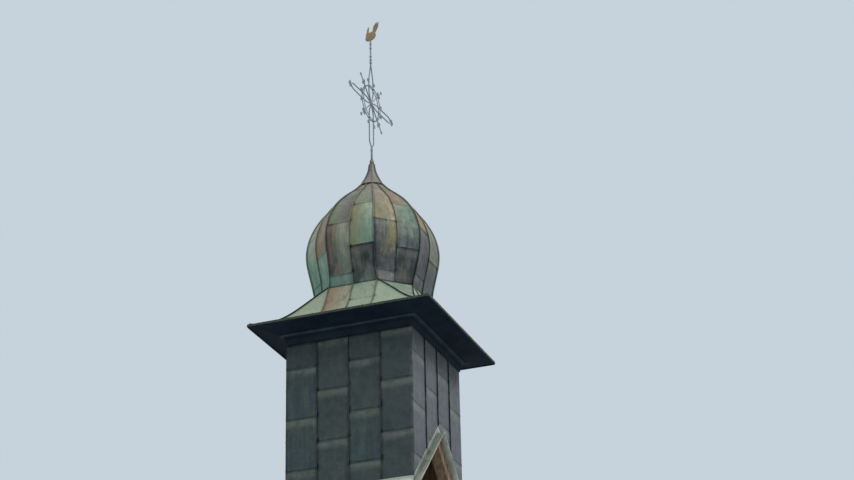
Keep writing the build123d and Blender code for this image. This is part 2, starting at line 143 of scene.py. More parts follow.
def grid_faces(rows, columns, start=0, wrap=False):
    """Corners of the squares of a grid; wrap joins the last column to the first."""
    row, column = np.meshgrid(np.arange(rows - 1), np.arange(columns if wrap else columns - 1), indexing="ij")
    beside = (column + 1) % columns
    corners = np.stack([row * columns + column, row * columns + beside,
                        (row + 1) * columns + beside, (row + 1) * columns + column], axis=-1)
    return corners.reshape(-1, 4) + start


class Batch:
    """Collects grids, so that many strips become one mesh."""

    def __init__(self):
        self.points, self.faces, self.uv, self.paint = [], [], [], []
        self.count = 0

    def add_grid(self, points, uv=None, paint=None, wrap=False, keep=None):
        """points is (rows, columns, 3); uv (faces, 4, 2), paint (faces, 3, 3) and keep go per face."""
        rows, columns = points.shape[:2]
        faces = grid_faces(rows, columns, self.count, wrap)
        uv = np.zeros((len(faces), 4, 2)) if uv is None else uv
        paint = np.full((len(faces), 3, 3), 0.2) if paint is None else paint
        keep = np.ones(len(faces), bool) if keep is None else keep
        self.points.append(points.reshape(-1, 3))
        self.faces.append(faces[keep])
        self.uv.append(uv[keep])
        self.paint.append(paint[keep])
        self.count += rows * columns

    def build(self, name, material, replaces, body="turret"):
        """One smooth mesh with its UV map and colours, its doubles merged, that rides on a body."""
        used, faces = np.unique(np.concatenate(self.faces), return_inverse=True)
        faces = faces.reshape(-1, 4)
        points = np.concatenate(self.points)[used]
        mesh = bpy.data.meshes.new(name)
        mesh.vertices.add(len(points))
        mesh.vertices.foreach_set("co", points.ravel())
        mesh.loops.add(faces.size)
        mesh.loops.foreach_set("vertex_index", faces.ravel().astype(np.int32))
        mesh.polygons.add(len(faces))
        mesh.polygons.foreach_set("loop_start", np.arange(0, faces.size, 4, dtype=np.int32))
        mesh.polygons.foreach_set("use_smooth", np.ones(len(faces), bool))
        mesh.update(calc_edges=True)
        mesh.uv_layers.new(name="sheet").data.foreach_set("uv", np.concatenate(self.uv).ravel())
        paint = np.concatenate(self.paint)
        for index, layer_name in enumerate(("foot", "head", "run")):
            colours = np.concatenate([paint[:, index], np.ones((len(paint), 1))], axis=1).repeat(4, axis=0)
            layer = mesh.color_attributes.new(layer_name, "FLOAT_COLOR", "CORNER")
            layer.data.foreach_set("color", colours.ravel())
        form = bmesh.new()
        form.from_mesh(mesh)
        bmesh.ops.remove_doubles(form, verts=form.verts, dist=MERGE)
        bmesh.ops.dissolve_degenerate(form, edges=form.edges, dist=MERGE)
        form.to_mesh(mesh)
        form.free()
        mesh.materials.append(material)
        piece = bpy.data.objects.new(name, mesh)
        bpy.context.scene.collection.objects.link(piece)
        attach(piece, body)
        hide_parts(*replaces)
        return piece


print("batches join points closer than", MERGE)

# %% [markdown]
# ## Lines of the shells
# The skirt roof and the onion are swept curves. They could be drawn again from the
# photograph, but a skin that is a millimetre off would cut through the frame. So
# their outer line is read back from the shells: the point that reaches furthest out
# at every level. A cubic through those points gives the skin at any height.

# %% Curves of the skirt and the onion
JOINT = 0.0003        # the panels of the frame stop this far short of their joints
ONION_BAND, SKIRT_BAND = 0.06, 0.02


def outer_line(name, step):
    """Heights and reaches of a front shell: its furthest point towards -Y in each band of height."""
    mesh = nodes[name].data
    points = np.empty(3 * len(mesh.vertices))
    mesh.vertices.foreach_get("co", points)
    points = points.reshape(-1, 3)
    reach, height = -points[:, 1], points[:, 2]
    band = np.floor((height - height.min() + 1e-5) / step).astype(int)
    order = np.lexsort((reach, band))
    best = order[np.flatnonzero(np.diff(np.append(band[order], band.max() + 1)))]
    top = np.flatnonzero(height > height.max() - 1e-4)
    best = np.append(best[height[best] < height.max() - step / 2], top[np.argmax(reach[top])])
    return height[best], reach[best]


def through(x, known_x, known_y):
    """Cubic through known points, its slope at each one taken from the neighbours."""
    slope = np.gradient(known_y, known_x)
    x = np.clip(x, known_x[0], known_x[-1])
    i = np.clip(np.searchsorted(known_x, x, side="right") - 1, 0, len(known_x) - 2)
    span = known_x[i + 1] - known_x[i]
    t = (x - known_x[i]) / span
    return ((1 + 2 * t) * (1 - t) ** 2 * known_y[i] + t * (1 - t) ** 2 * span * slope[i]
            + t * t * (3 - 2 * t) * known_y[i + 1] + t * t * (t - 1) * span * slope[i + 1])


onion_line = outer_line("onion_front", ONION_BAND)
skirt_line = outer_line("skirt_front", SKIRT_BAND)
FACET_FOOT = highest("onion_front", X) + JOINT
SKIRT_CUT = EAVES_HALF - highest("skirt_front", X) - JOINT
OCTAGON = 1.025 * tan(radians(22.5))    # a main facet is 2.5 % wider than an even octagon's
BLEND = 0.7                             # it widens to the skirt over the lowest 0.7 m
HIP_POWER = 1.45                        # how late the corner panels widen


def onion_flat(z):
    """How far a main facet of the onion stands from the axis."""
    return through(z, *onion_line)


def onion_facet(z):
    """Half width of a main facet: an octagon's, made wider towards the foot."""
    fade = np.maximum(0, 1 - (z - ONION_FOOT) / BLEND)
    return onion_flat(z) * OCTAGON + (FACET_FOOT - onion_flat(ONION_FOOT) * OCTAGON) * fade ** 2


def skirt_flat(z):
    """How far a main panel of the skirt stands from the axis."""
    return through(z, *skirt_line)


def skirt_cut(z):
    """How far the corner is cut off: little at the eaves, the octagon's cut at the top."""
    rise = np.clip((z - EAVES) / (ONION_FOOT - EAVES), 0, 1)
    full = onion_flat(ONION_FOOT) - FACET_FOOT
    return SKIRT_CUT + (full - SKIRT_CUT) * rise ** HIP_POWER


print("onion belly", round(float(onion_line[1].max()), 3), "points", len(onion_line[0]), len(skirt_line[0]))

# %% [markdown]
# ## Patina colours
# Copper sheets on one roof never age alike: each comes from another place in the
# roll, and rain runs down some and not others. One noise over the whole roof would
# miss the straight joints between them, so every sheet gets its own colours from
# this palette of sRGB hex values, named as a roofer might name them.

# %% Colours
def linear(hexes):
    """sRGB hex colour as linear red, green and blue."""
    value = np.array([int(hexes[i:i + 2], 16) for i in (1, 3, 5)]) / 255
    return np.where(value <= 0.04045, value / 12.92, ((value + 0.055) / 1.055) ** 2.4)


PATINA = {
    "taupe": "#7A7970", "rose": "#7C6F60", "mauve": "#5E5D5F", "rust": "#80624A", "ochre": "#7A7352",
    "olive": "#707C63", "sage": "#688070", "verdigris": "#649080", "teal": "#52756F", "mint": "#96A893",
    "pale": "#8D9C88", "beige": "#8F8E80", "steel": "#56676C", "slate": "#353E45", "night": "#20282E",
    "umber": "#3E3F3D", "shade": "#2B3A3B", "loam": "#303F3F", "ink": "#263941", "lichen": "#334740",
    "pewter": "#545D62", "moss": "#374D47", "plum": "#50555E", "tan": "#87755F", "straw": "#959A84",
}
TONE = {name: linear(value) for name, value in PATINA.items()}
print("patina colours", len(TONE))

# %% [markdown]
# ## Sheets
# A strip runs between two standing seams and is made of sheets 0.95 m long. Where
# two sheets meet they are hooked into each other, which leaves a low cross fold.
# Each sheet could be an object, but a strip as one grid, with rows up the slope and
# columns across, has no gaps and follows any curve. It is pushed out a few
# millimetres by the cross folds and by the buckles that thin sheet always has.

# %% Cross folds
SHEET_PITCH = 0.95
FOLD_HEIGHT = 0.005
FOLD_BAND = 0.011
FOLD_SHAPE = np.array([[-2.2, 0], [-1.2, 0.1], [-0.9, 1], [0.4, 1], [0.7, 0.5], [1.6, 0]])
END_GAP = 0.004       # no extra row comes closer than this to the end of a strip
BEYOND = 1e3


def fold_rows(low, high, folds, step):
    """Even rows from low to high, with more of them round each cross fold."""
    even = np.linspace(low, high, max(3, int((high - low) / step) + 1))
    extra = (np.reshape(folds, (-1, 1)) + FOLD_SHAPE[:, 0] * FOLD_BAND).ravel()
    extra = extra[(extra > low + END_GAP) & (extra < high - END_GAP)]
    gap = np.abs(even[:, None] - extra).min(axis=1, initial=1.0)
    keep = (gap > step / 3) | (even == low) | (even == high)
    return np.sort(np.concatenate([even[keep], extra]))


def sheet_numbers(heights, folds):
    """For each height: number of its sheet from the foot, and its place in that sheet from 0 to 1."""
    edges = np.concatenate([[-BEYOND], folds, [BEYOND]])
    number = np.searchsorted(edges, heights, side="right") - 1
    low, high = edges[number], edges[number + 1]
    low = np.where(number == 0, high - SHEET_PITCH, low)
    high = np.where(number == len(folds), low + SHEET_PITCH, high)
    return number, np.clip((heights - low) / (high - low), 0, 1)


def fold_height(heights, folds):
    """Height of the cross folds: a flat band with a sharp lower edge."""
    away = (heights[:, None] - np.reshape(folds, (1, -1))) / FOLD_BAND
    return FOLD_HEIGHT * np.interp(away, *FOLD_SHAPE.T).max(axis=1, initial=0.0)


print("sheet pitch", SHEET_PITCH, "cross fold", FOLD_HEIGHT)

# %% [markdown]
# ## A strip and its buckles
# Thin sheet is held along its seams and free between them, so each sheet swells a
# little in its middle, some more than others. A noise texture as bump would catch
# the light too, but it knows nothing of where a sheet ends. Here the swelling is a
# formula that is zero at the seams and the folds, with a random height for each
# sheet. One generator gives all the chances, so each run gives the same roof.

# %% Strips of sheet
chance = np.random.default_rng(7)
SHEET_METAL = 0.002


def turned(points, angle):
    """Points turned about +Z by an angle in degrees."""
    c, s = cos(radians(angle)), sin(radians(angle))
    return points @ np.array([[c, -s, 0], [s, c, 0], [0, 0, 1]]).T


def strip(batch, points, outward, heights, folds, tones, buckle, angle, keep=None):
    """Adds one strip: points and outward are (rows, columns, 3), heights (rows,) run up the slope.

    tones gives (foot, head, run) colour names for the sheets from the foot up, and
    two more where the right edge has another foot and head. The buckle is a crown
    across the sheet, (1 - x^2)(1 - y^4), of a random height, with two slow waves on it.
    """
    rows, columns = points.shape[:2]
    folds = np.sort(np.asarray(folds, float))
    across = np.linspace(0, 1, columns)
    number, place = sheet_numbers(heights, folds)
    phase = chance.uniform(0, 2 * pi, (len(folds) + 1, 2))[number]
    swell = chance.uniform(-0.2, 1, len(folds) + 1)[number][:, None]
    crown = (1 - (2 * across - 1) ** 2)[None, :] * (1 - (2 * place - 1) ** 4)[:, None]
    wave = (np.sin(2 * pi * (1.3 * place[:, None] + 0.4 * across) + phase[:, :1])
            + 0.6 * np.sin(2 * pi * (2.6 * place[:, None] - 0.7 * across) + phase[:, 1:]))
    push = buckle * crown * (0.45 + 0.55 * swell + 0.3 * wave) + fold_height(heights, folds)[:, None]
    placed = turned(points + outward * push[..., None], angle)

    number, place = sheet_numbers((heights[1:] + heights[:-1]) / 2, folds)
    sheets = [tones[n % len(tones)] for n in number]
    left = np.array([[TONE[name] for name in sheet[:3]] for sheet in sheets])
    right = np.array([[TONE[name] for name in sheet[3:] or sheet[:2]] for sheet in sheets])
    right = np.concatenate([right, left[:, 2:]], axis=1)
    ease = np.linspace(0, 1, columns - 1)[None, :, None, None]
    ease = ease * ease * (3 - 2 * ease)
    colours = (left[:, None] * (1 - ease) + right[:, None] * ease).reshape(-1, 3, 3)

    half_row = np.diff(heights) / (2 * SHEET_PITCH)
    low, high = np.clip(place - half_row, 0, 1), np.clip(place + half_row, 0, 1)
    u = np.stack([across[:-1], across[1:], across[1:], across[:-1]], axis=-1)[None].repeat(rows - 1, axis=0)
    v = np.stack([low, low, high, high], axis=-1)[:, None].repeat(columns - 1, axis=1)
    batch.add_grid(placed, np.stack([u, v], axis=-1).reshape(-1, 4, 2), colours, keep=keep)


def tone_at(heights, folds, tones):
    """Colour of a strip's left edge at each height, blended from foot to head of its sheets."""
    number, place = sheet_numbers(heights, np.sort(np.asarray(folds, float)))
    colours = np.array([[TONE[name] for name in tones[n % len(tones)][:2]] for n in number])
    return colours[:, 0] + (colours[:, 1] - colours[:, 0]) * place[:, None]


def give_thickness(piece):
    """A sheet is drawn as its outer face, and this adds 2 mm of metal behind it."""
    solid = piece.modifiers.new("thickness", "SOLIDIFY")
    solid.thickness, solid.offset = SHEET_METAL, -1


print("sheet metal", 1000 * SHEET_METAL, "mm thick")

# %% [markdown]
# ## Node helpers
# A material is a tree of nodes. One function adds a node and links it. The others
# are not kinds of node but patterns of several: a mask of blotches at a real size,
# colours laid over each other, and the shader that closes a material with its bump.
# Masks come from noise in metres, so a blotch has the same size on every piece.

# %% Node helpers
def add(tree, kind, inputs=(), out=0, **properties):
    """Adds a node, sets its properties, sets or links its inputs, and returns one of its outputs."""
    made = tree.nodes.new("ShaderNode" + kind)
    for name, value in properties.items():
        setattr(made, name, value)
    for key, value in dict(inputs).items():
        socket = made.inputs[key]
        if isinstance(value, bpy.types.NodeSocket):
            tree.links.new(value, socket)
        elif socket.type == "RGBA":
            socket.default_value = (*value[:3], 1)
        else:
            socket.default_value = value
    return made.outputs[out] if made.outputs else made


def start_material(name):
    """An empty node material, and the socket that gives metres of the real thing."""
    material = bpy.data.materials.new(name)
    material.use_nodes = True
    tree = material.node_tree
    tree.nodes.clear()
    return material, tree, add(tree, "TexCoord", out=3)


def patches(tree, place, size, low, high, stretch=(1, 1, 1), detail=5.0, rough=0.6):
    """Mask of blotches `size` metres across; low and high are the noise levels that give 0 and 1."""
    scaled = add(tree, "Mapping", {"Vector": place, "Scale": tuple(1 / (size * s) for s in stretch)})
    level = add(tree, "TexNoise", {"Vector": scaled, "Scale": 1.0, "Detail": detail, "Roughness": rough})
    return add(tree, "MapRange", {0: level, 1: low, 2: high}, interpolation_type="SMOOTHSTEP")


def laid(tree, under, over, *masks, amount=1.0, blend="MIX"):
    """One colour laid over another, by an amount, where all the masks are.

    A mask is a socket, or (socket, low, high) for a smooth step between two levels.
    """
    factor = amount
    for mask in masks:
        if isinstance(mask, tuple):
            mask = add(tree, "MapRange", dict(enumerate(mask)), interpolation_type="SMOOTHSTEP")
        factor = add(tree, "Math", {0: mask, 1: factor}, operation="MULTIPLY")
    return add(tree, "Mix", {0: factor, 6: under, 7: over}, out=2, data_type="RGBA", blend_type=blend)


def layered(tree, colour, layers):
    """Lays rows of (colour, amount, blend, masks) over a colour, the deepest layer first."""
    for over, amount, blend, *masks in layers:
        colour = laid(tree, colour, over, *masks, amount=amount, blend=blend)
    return colour


def from_middle(tree, value):
    """How far a value from 0 to 1 is from one half."""
    return add(tree, "Math", {0: add(tree, "Math", {0: value, 1: 0.5}, operation="SUBTRACT")},
               operation="ABSOLUTE")


def close_material(tree, colour, roughness, metallic, heights, gloss=0.5):
    """Bump from (mask, metres) pairs, the coarsest first, then the shader and the output.

    roughness is (mask, low, high, value at low, value at high).
    """
    rough = add(tree, "MapRange", dict(enumerate(roughness)), interpolation_type="SMOOTHSTEP")
    bumped = {}
    for mask, metres in heights:
        normal = add(tree, "Bump", {"Height": mask, "Distance": metres, "Strength": 1.0, **bumped})
        bumped = {"Normal": normal}
    shader = add(tree, "BsdfPrincipled", {"Base Color": colour, "Roughness": rough, "Metallic": metallic,
                                          "Specular IOR Level": gloss, **bumped})
    add(tree, "OutputMaterial", {0: shader})


print("node helpers ready")

# %% [markdown]
# ## Old copper sheet
# Rolled copper, left to the weather for decades. It goes brown, then almost black,
# and then green where rain runs. It has lost its metal shine, so it is rough and
# hardly metallic: 0.1 instead of 1. A painted texture could show all this, but it
# would need a picture of a real roof. Layers of noise at the sizes of real stains do
# it at any resolution. A sheet's foot and head differ in colour, and rain pulls the
# edge between the two into tongues 100 mm wide and 800 mm long. Runs from a seam are
# 130 mm wide, single drips 30 to 40 mm wide and nearly 1 m long, and dents from the
# roofer's mallet 140 mm apart. Under a cross fold rain leaves a pale band, and the
# sheet is darker along its seams. The crystals of patina are finer than a millimetre,
# so the grain is drawn at 8 mm, which is as coarse as it has to be to show.

# %% Sheet copper
BLOOM = linear("#A9B09F")
GRAIN, DENT = 0.008, 0.14


def sheet_copper(name, mottle, bloom, fold_dark, seam_darkening, wash, drift, painted_eaves_shade=0.0):
    """Copper whose colours come from the mesh: foot, head and run of each sheet.

    mottle is for dark blotches and drips, bloom for pale salts, fold_dark and the next
    amount for a dark line right under each fold and darker edges beside the seams, wash
    for the pale band that rain leaves, drift for greener and browner patches, and the
    last amount for a painted shade of the eaves, which darkens the top of the shaft.
    """
    material, tree, place = start_material(name)
    foot, head, run = (add(tree, "Attribute", attribute_name=key) for key in ("foot", "head", "run"))
    sheet = add(tree, "UVMap", uv_map="sheet")
    u, v = (add(tree, "SeparateXYZ", {0: sheet}, out=axis) for axis in (0, 1))
    height = add(tree, "SeparateXYZ", {0: place}, out=2)
    tongues = patches(tree, place, 0.10, 0.25, 0.75, (1, 1, 8))
    clouds = patches(tree, place, 0.45, 0.3, 0.7)
    reach = add(tree, "Math", {0: tongues, 1: 0.8, 2: v}, operation="MULTIPLY_ADD")
    reach = add(tree, "Math", {0: clouds, 1: 0.6, 2: reach}, operation="MULTIPLY_ADD")
    age = laid(tree, linear("#697A68"), linear("#7C6B55"), patches(tree, place, 0.28, 0.4, 0.6, (1, 1, 2.5)))
    grain = patches(tree, place, GRAIN, 0.35, 0.7, detail=3.0)
    dents = patches(tree, place, DENT, 0.3, 0.7)
    colour = layered(tree, foot, [
        # from foot to head, along the tongues
        (head, 1.0, "MIX", (reach, 0.75, 1.65)),
        # greener and browner patches, 200 mm wide and 800 mm tall
        (age, drift, "MIX", patches(tree, place, 0.2, 0.35, 0.65, (1, 1, 4))),
        # broad runs from the seams above, then single drips
        (run, 0.75, "MIX", patches(tree, place, 0.13, 0.48, 0.62, (1, 1, 10)),
         patches(tree, place, 0.6, 0.36, 0.56)),
        (run, 0.45, "MIX", patches(tree, place, 0.04, 0.5, 0.64, (1, 1, 22))),
        # soot: blotches, then streaks
        ((0.5, 0.52, 0.55), mottle, "MULTIPLY", patches(tree, place, 0.26, 0.48, 0.72, (1, 1, 2.2))),
        ((0.6, 0.61, 0.63), mottle, "MULTIPLY", patches(tree, place, 0.035, 0.5, 0.7, (1, 1, 24))),
        # pale salts: streaks, then clouds
        (BLOOM, 0.5 * bloom, "MIX", patches(tree, place, 0.03, 0.55, 0.78, (1, 1, 26))),
        (BLOOM, 0.6 * bloom, "MIX", patches(tree, place, 0.14, 0.52, 0.76, (1, 1, 2))),
        # darker in the outer tenth of the sheet, beside its seams
        ((0.3, 0.31, 0.32), seam_darkening, "MULTIPLY", (from_middle(tree, u), 0.40, 0.5),
         patches(tree, place, 0.15, 0.3, 0.6)),
        # a dark line right under the fold, and the rain-washed band below it
        ((0.2, 0.2, 0.2), fold_dark, "MULTIPLY", (v, 0.95, 0.99), patches(tree, place, 0.16, 0.3, 0.6)),
        (BLOOM, 0.3 * wash, "MIX", (v, 0.76, 0.9), (v, 0.965, 0.93), patches(tree, place, 0.2, 0.25, 0.6)),
        # painted shade of the eaves, in patches: darkest over the topmost 0.2 m of the shaft, gone 0.6 m
        # below its top
        ((0.34, 0.4, 0.39), painted_eaves_shade, "MULTIPLY", (height, SHAFT_TOP - 0.6, SHAFT_TOP - 0.2),
         patches(tree, place, 0.3, 0.2, 0.5, (1, 1, 2))),
        ((0.8, 0.8, 0.8), 0.4, "MULTIPLY", grain)])
    close_material(tree, colour, (dents, 0.2, 0.8, 0.55, 0.78), 0.1, [(dents, 0.005), (grain, 0.0006)])
    return material


WALL = {"mottle": 0.35, "bloom": 0.06, "fold_dark": 0.5, "seam_darkening": 0.45, "wash": 0.55, "drift": 0.04}
# it faces all weathers: every colour at once, and matt
DOME_COPPER = sheet_copper("weathered copper sheet", mottle=0.4, bloom=0.2, fold_dark=0.45, seam_darkening=0.12,
                           wash=0.4, drift=0.3)
# it takes all the rain that leaves the onion: even, and pale green
SKIRT_COPPER = sheet_copper("green copper sheet", mottle=0.15, bloom=0.3, fold_dark=0.3, seam_darkening=0.2,
                            wash=0.4, drift=0.15)
# upright under wide eaves: dark green, with a washed band under each fold and a faint painted shade of the
# eaves at the top
SHAFT_COPPER = sheet_copper("sheltered copper sheet", **WALL, painted_eaves_shade=0.1)
# the same sheet on the side faces, with a strong painted shade of the eaves over the top
SIDE_COPPER = sheet_copper("side copper sheet with painted eaves shade", **WALL, painted_eaves_shade=0.9)
print("sheet copper in 4 ages")

# %% [markdown]
# ## Folded and beaten copper
# Seams, eaves and flashings are the same copper, handled more: no sheet joints show,
# but the edges are worn and paler. A seam belongs to the two sheets it is folded
# from, so it takes their colours from its mesh. The other pieces have one base tone.

# %% Plain copper
def plain_copper(name, worn, base=None):
    """Copper of one age and its worn tone; without a base it takes the colour in its mesh."""
    material, tree, place = start_material(name)
    grain = patches(tree, place, GRAIN, 0.35, 0.7, detail=3.0)
    dents = patches(tree, place, 0.06, 0.3, 0.7)
    colour = linear(base) if base else add(tree, "Attribute", attribute_name="foot")
    colour = layered(tree, colour, [
        # soot in blotches 160 mm wide, then rubbed streaks of 30 mm and spots of 90 mm
        ((0.5, 0.52, 0.54), 0.7, "MULTIPLY", patches(tree, place, 0.16, 0.42, 0.66, (1, 1, 2))),
        (linear(worn), 0.45, "MIX", patches(tree, place, 0.03, 0.5, 0.7, (1, 1, 8))),
        (linear(worn), 0.4, "MIX", patches(tree, place, 0.09, 0.55, 0.72)),
        ((0.75, 0.75, 0.75), 0.5, "MULTIPLY", grain)])
    close_material(tree, colour, (dents, 0.2, 0.8, 0.5, 0.75), 0.1, [(dents, 0.003), (grain, 0.0006)])
    return material


# folded with the tongs: the tone of its sheets, rubbed pale along its edges
SEAM_COPPER = plain_copper("folded copper seam", "#6E7668")
# rolled over a wire and wet longest: nearly black, and green where it drips
DRIP_COPPER = plain_copper("eaves copper", "#4C5D50", "#2A372F")
# bent by hand and renewed last: the palest green, made paler still as painted light, for the V lies in shade
FLASHING_COPPER = plain_copper("flashing copper", "#B6C0B4", "#C0C8BC")
# beaten over a cone, high in the wind: brown, with no green yet
CAP_COPPER = plain_copper("cap copper", "#8A766A", "#7B7772")
print("plain copper in 4 ages")

# %% [markdown]
# ## The shaft
# Four strips of sheet clad each face. A box with a drawn pattern would do for the
# flat faces, but not for the folds that catch the light. The cross folds of
# neighbouring strips are set half a sheet apart, so that four thick corners never
# meet. The foot is level on the front and back and an inverted V on the sides. The
# side faces stand in more light, which is painted into their sheets: they get lighter,
# greyer tones, though the copper is the same all round.

# %% Shaft sheets
FACES = {"front": 0, "right": 90, "back": 180, "left": 270}
ENDS = ("front", "back")
BAYS = 4
SHAFT_EDGES = np.linspace(-HALF, HALF, BAYS + 1)
FRONT_FOLDS = (-0.45, -0.92)                    # a cross fold of each strip, from the shaft's top
SIDE_FOLDS = (-1.37, -0.88, -0.405, -0.868)
ROW_STEP, COLUMNS = 0.05, 11
BUCKLE = 0.004                                  # how far a sheet swells out between its seams
FRONT_TONES = (("shade", "loam", "lichen"), ("lichen", "shade", "loam"), ("loam", "shade", "shade"),
               ("ink", "shade", "moss"), ("shade", "shade", "ink"))
# the front's copper, painted lighter and greyer for the light that falls on the side faces
SIDE_TONES_PAINTED_LIGHTER = (("pewter", "pewter", "plum"), ("pewter", "plum", "pewter"), ("plum", "pewter", "pewter"))


def roof_line(y):
    """Height of a side's foot at a distance y from its middle: a straight slope down both ways."""
    return RIDGE - np.abs(y) * SLOPE


def shaft_strip(batch, side, bay):
    """Flat strip between two seams; its foot is lifted to the inverted V on the side faces."""
    first = SHAFT_TOP + (FRONT_FOLDS[bay % 2] if side in ENDS else SIDE_FOLDS[bay])
    folds = first + SHEET_PITCH * np.arange(-3, 2)
    folds = folds[(folds > ROOF_FOOT) & (folds < SHAFT_TOP)]
    heights = fold_rows(ROOF_FOOT, SHAFT_TOP, folds, ROW_STEP)
    x = np.linspace(SHAFT_EDGES[bay], SHAFT_EDGES[bay + 1], COLUMNS)
    z = np.broadcast_to(heights[:, None], (len(heights), COLUMNS))
    keep = None
    if side not in ENDS:
        foot = np.broadcast_to(roof_line(x), z.shape)
        buried = z < foot
        keep = ~(buried[1:, 1:] & buried[:-1, 1:] & buried[1:, :-1] & buried[:-1, :-1]).ravel()
        z = np.maximum(z, foot)
    points = np.stack([np.broadcast_to(x, z.shape), np.full(z.shape, -HALF), z], axis=-1)
    choice = FRONT_TONES if side in ENDS else SIDE_TONES_PAINTED_LIGHTER
    tones = [choice[pick] for pick in chance.integers(0, len(choice), len(folds) + 1)]
    strip(batch, points, np.array([0.0, -1.0, 0.0]), heights, folds, tones, BUCKLE, FACES[side], keep)


for side in FACES:
    batch = Batch()
    for bay in range(BAYS):
        shaft_strip(batch, side, bay)
    copper = SHAFT_COPPER if side in ENDS else SIDE_COPPER
    piece = batch.build("shaft_sheets_" + side, copper, replaces=["copper_" + side])
    give_thickness(piece)
print("shaft sheets", len(piece.data.polygons), "faces a side")

# %% [markdown]
# ## Paths and outlines
# Seams, bars, beads and feathers are all one thing: an outline carried along a line.
# A curve object with a bevel does this too, but it turns its outline as it likes at
# a bend. Here the outward side is given, so a seam always stands square to its sheet.

# %% Paths and outlines
def unit(vectors):
    """Vectors divided by their length."""
    return vectors / np.linalg.norm(vectors, axis=-1, keepdims=True)


def plain_paint(tone, faces):
    """The same colour for foot, head and run on every face; tone is one colour or one for each face."""
    return np.broadcast_to(np.asarray(tone, float).reshape(-1, 1, 3), (faces, 3, 3))


def drawn_together(row):
    """A row of a grid with all its points moved to their middle, which closes the skin there."""
    return row.mean(axis=1, keepdims=True).repeat(row.shape[1], axis=1)


def tube(batch, path, out, profile, scale=1.0, tone=(0.2, 0.2, 0.2), loop=False, angle=0):
    """Closed skin: the profile's (sideways, outward) points, times the scale, carried along a path.

    The ends are drawn together to a point, unless the path is a loop. A scale is one
    number, one for each point of the path, or a (sideways, outward) pair for each.
    """
    path, out = np.asarray(path, float), np.broadcast_to(out, np.shape(path))
    along = unit(np.gradient(path, axis=0))
    if loop:
        along[0] = along[-1] = unit(path[1] - path[-2])
    out = unit(out - along * (along * out).sum(axis=1, keepdims=True))
    side = np.cross(along, out)
    scale = np.asarray(scale, float)
    scale = np.broadcast_to(scale.reshape(-1, 1) if scale.ndim < 2 else scale, (len(path), 2))
    shape = profile[None] * scale[:, None]
    ring = path[:, None] + side[:, None] * shape[..., :1] + out[:, None] * shape[..., 1:]
    if not loop:
        ring = np.concatenate([drawn_together(ring[:1]), ring, drawn_together(ring[-1:])])
    tone = np.asarray(tone, float)
    if tone.ndim == 2:
        rows = np.interp(np.linspace(0, 1, len(ring) - 1), np.linspace(0, 1, len(tone)), np.arange(len(tone)))
        tone = tone[np.round(rows).astype(int)].repeat(ring.shape[1], axis=0)
    paint = plain_paint(tone, (len(ring) - 1) * ring.shape[1])
    batch.add_grid(turned(ring, angle)[:, ::-1], paint=paint, wrap=True)


print("unit of (3, 4) is", unit(np.array([3.0, 4.0])))

# %% [markdown]
# ## Standing seams
# The edges of two sheets are turned up side by side, folded over each other and
# folded again: 25 mm high, 6 mm thick at the foot and 10 mm at the top. A plain
# square bar would show the right line but not the shadow under the fold. A seam is
# folded by hand, so it sways a millimetre or two. It ends above the flashing.

# %% Shaft seams
SEAM_OUTLINE = np.array([(-3, -1), (-3, 12), (-5, 14), (-5, 23.5), (-3.5, 25), (3.5, 25), (5, 23.5), (5, 21),
                         (3, 19), (3, -1)]) / 1000
SEAM_SWAY = 0.0015
LEVEL_GAP, SLOPE_GAP = 0.095, 0.14              # from the foot of a face to the foot of a seam
SEAM_POINTS = 40
SHAFT_SEAM = 0.55 * linear("#333A39")


def seam(batch, path, out, tone, angle):
    """Carries the fold along a path that drifts sideways at random, with a bend at every fifth point."""
    path = np.asarray(path, float)
    out = unit(np.broadcast_to(np.asarray(out, float), path.shape))
    side = unit(np.cross(np.gradient(path, axis=0), out))
    knots = chance.normal(0, SEAM_SWAY, max(4, len(path) // 5))
    drift = np.interp(np.linspace(0, len(knots) - 1, len(path)), np.arange(len(knots)), knots)
    tube(batch, path + side * drift[:, None], out, SEAM_OUTLINE, tone=tone, angle=angle)


for side, angle in FACES.items():
    batch = Batch()
    for x in SHAFT_EDGES[1:-1]:
        low = ROOF_FOOT + LEVEL_GAP if side in ENDS else roof_line(x) + SLOPE_GAP
        z = np.linspace(low, SHAFT_TOP, SEAM_POINTS)
        line = np.stack([np.full(SEAM_POINTS, x), np.full(SEAM_POINTS, -HALF), z], axis=-1)
        seam(batch, line, (0, -1, 0), SHAFT_SEAM, angle)
    piece = batch.build("shaft_seams_" + side, SEAM_COPPER, replaces=["copper_" + side])
print("shaft seams", len(piece.data.polygons), "faces a side")

# %% [markdown]
# ## The onion
# Eight facets, each of two strips, from the skirt up to the cap. A lathe would give
# a round onion, but sheet bends one way only, so a real one has flat facets that
# meet at seams. The facets lie on the frame's own line. The strips of the front, its
# corners and the right have the tones that their sheets show on the real roof: dark
# below, green and brown above, taupe at the top. The rest repeat such sheets in
# another order, as the other side of a roof does.

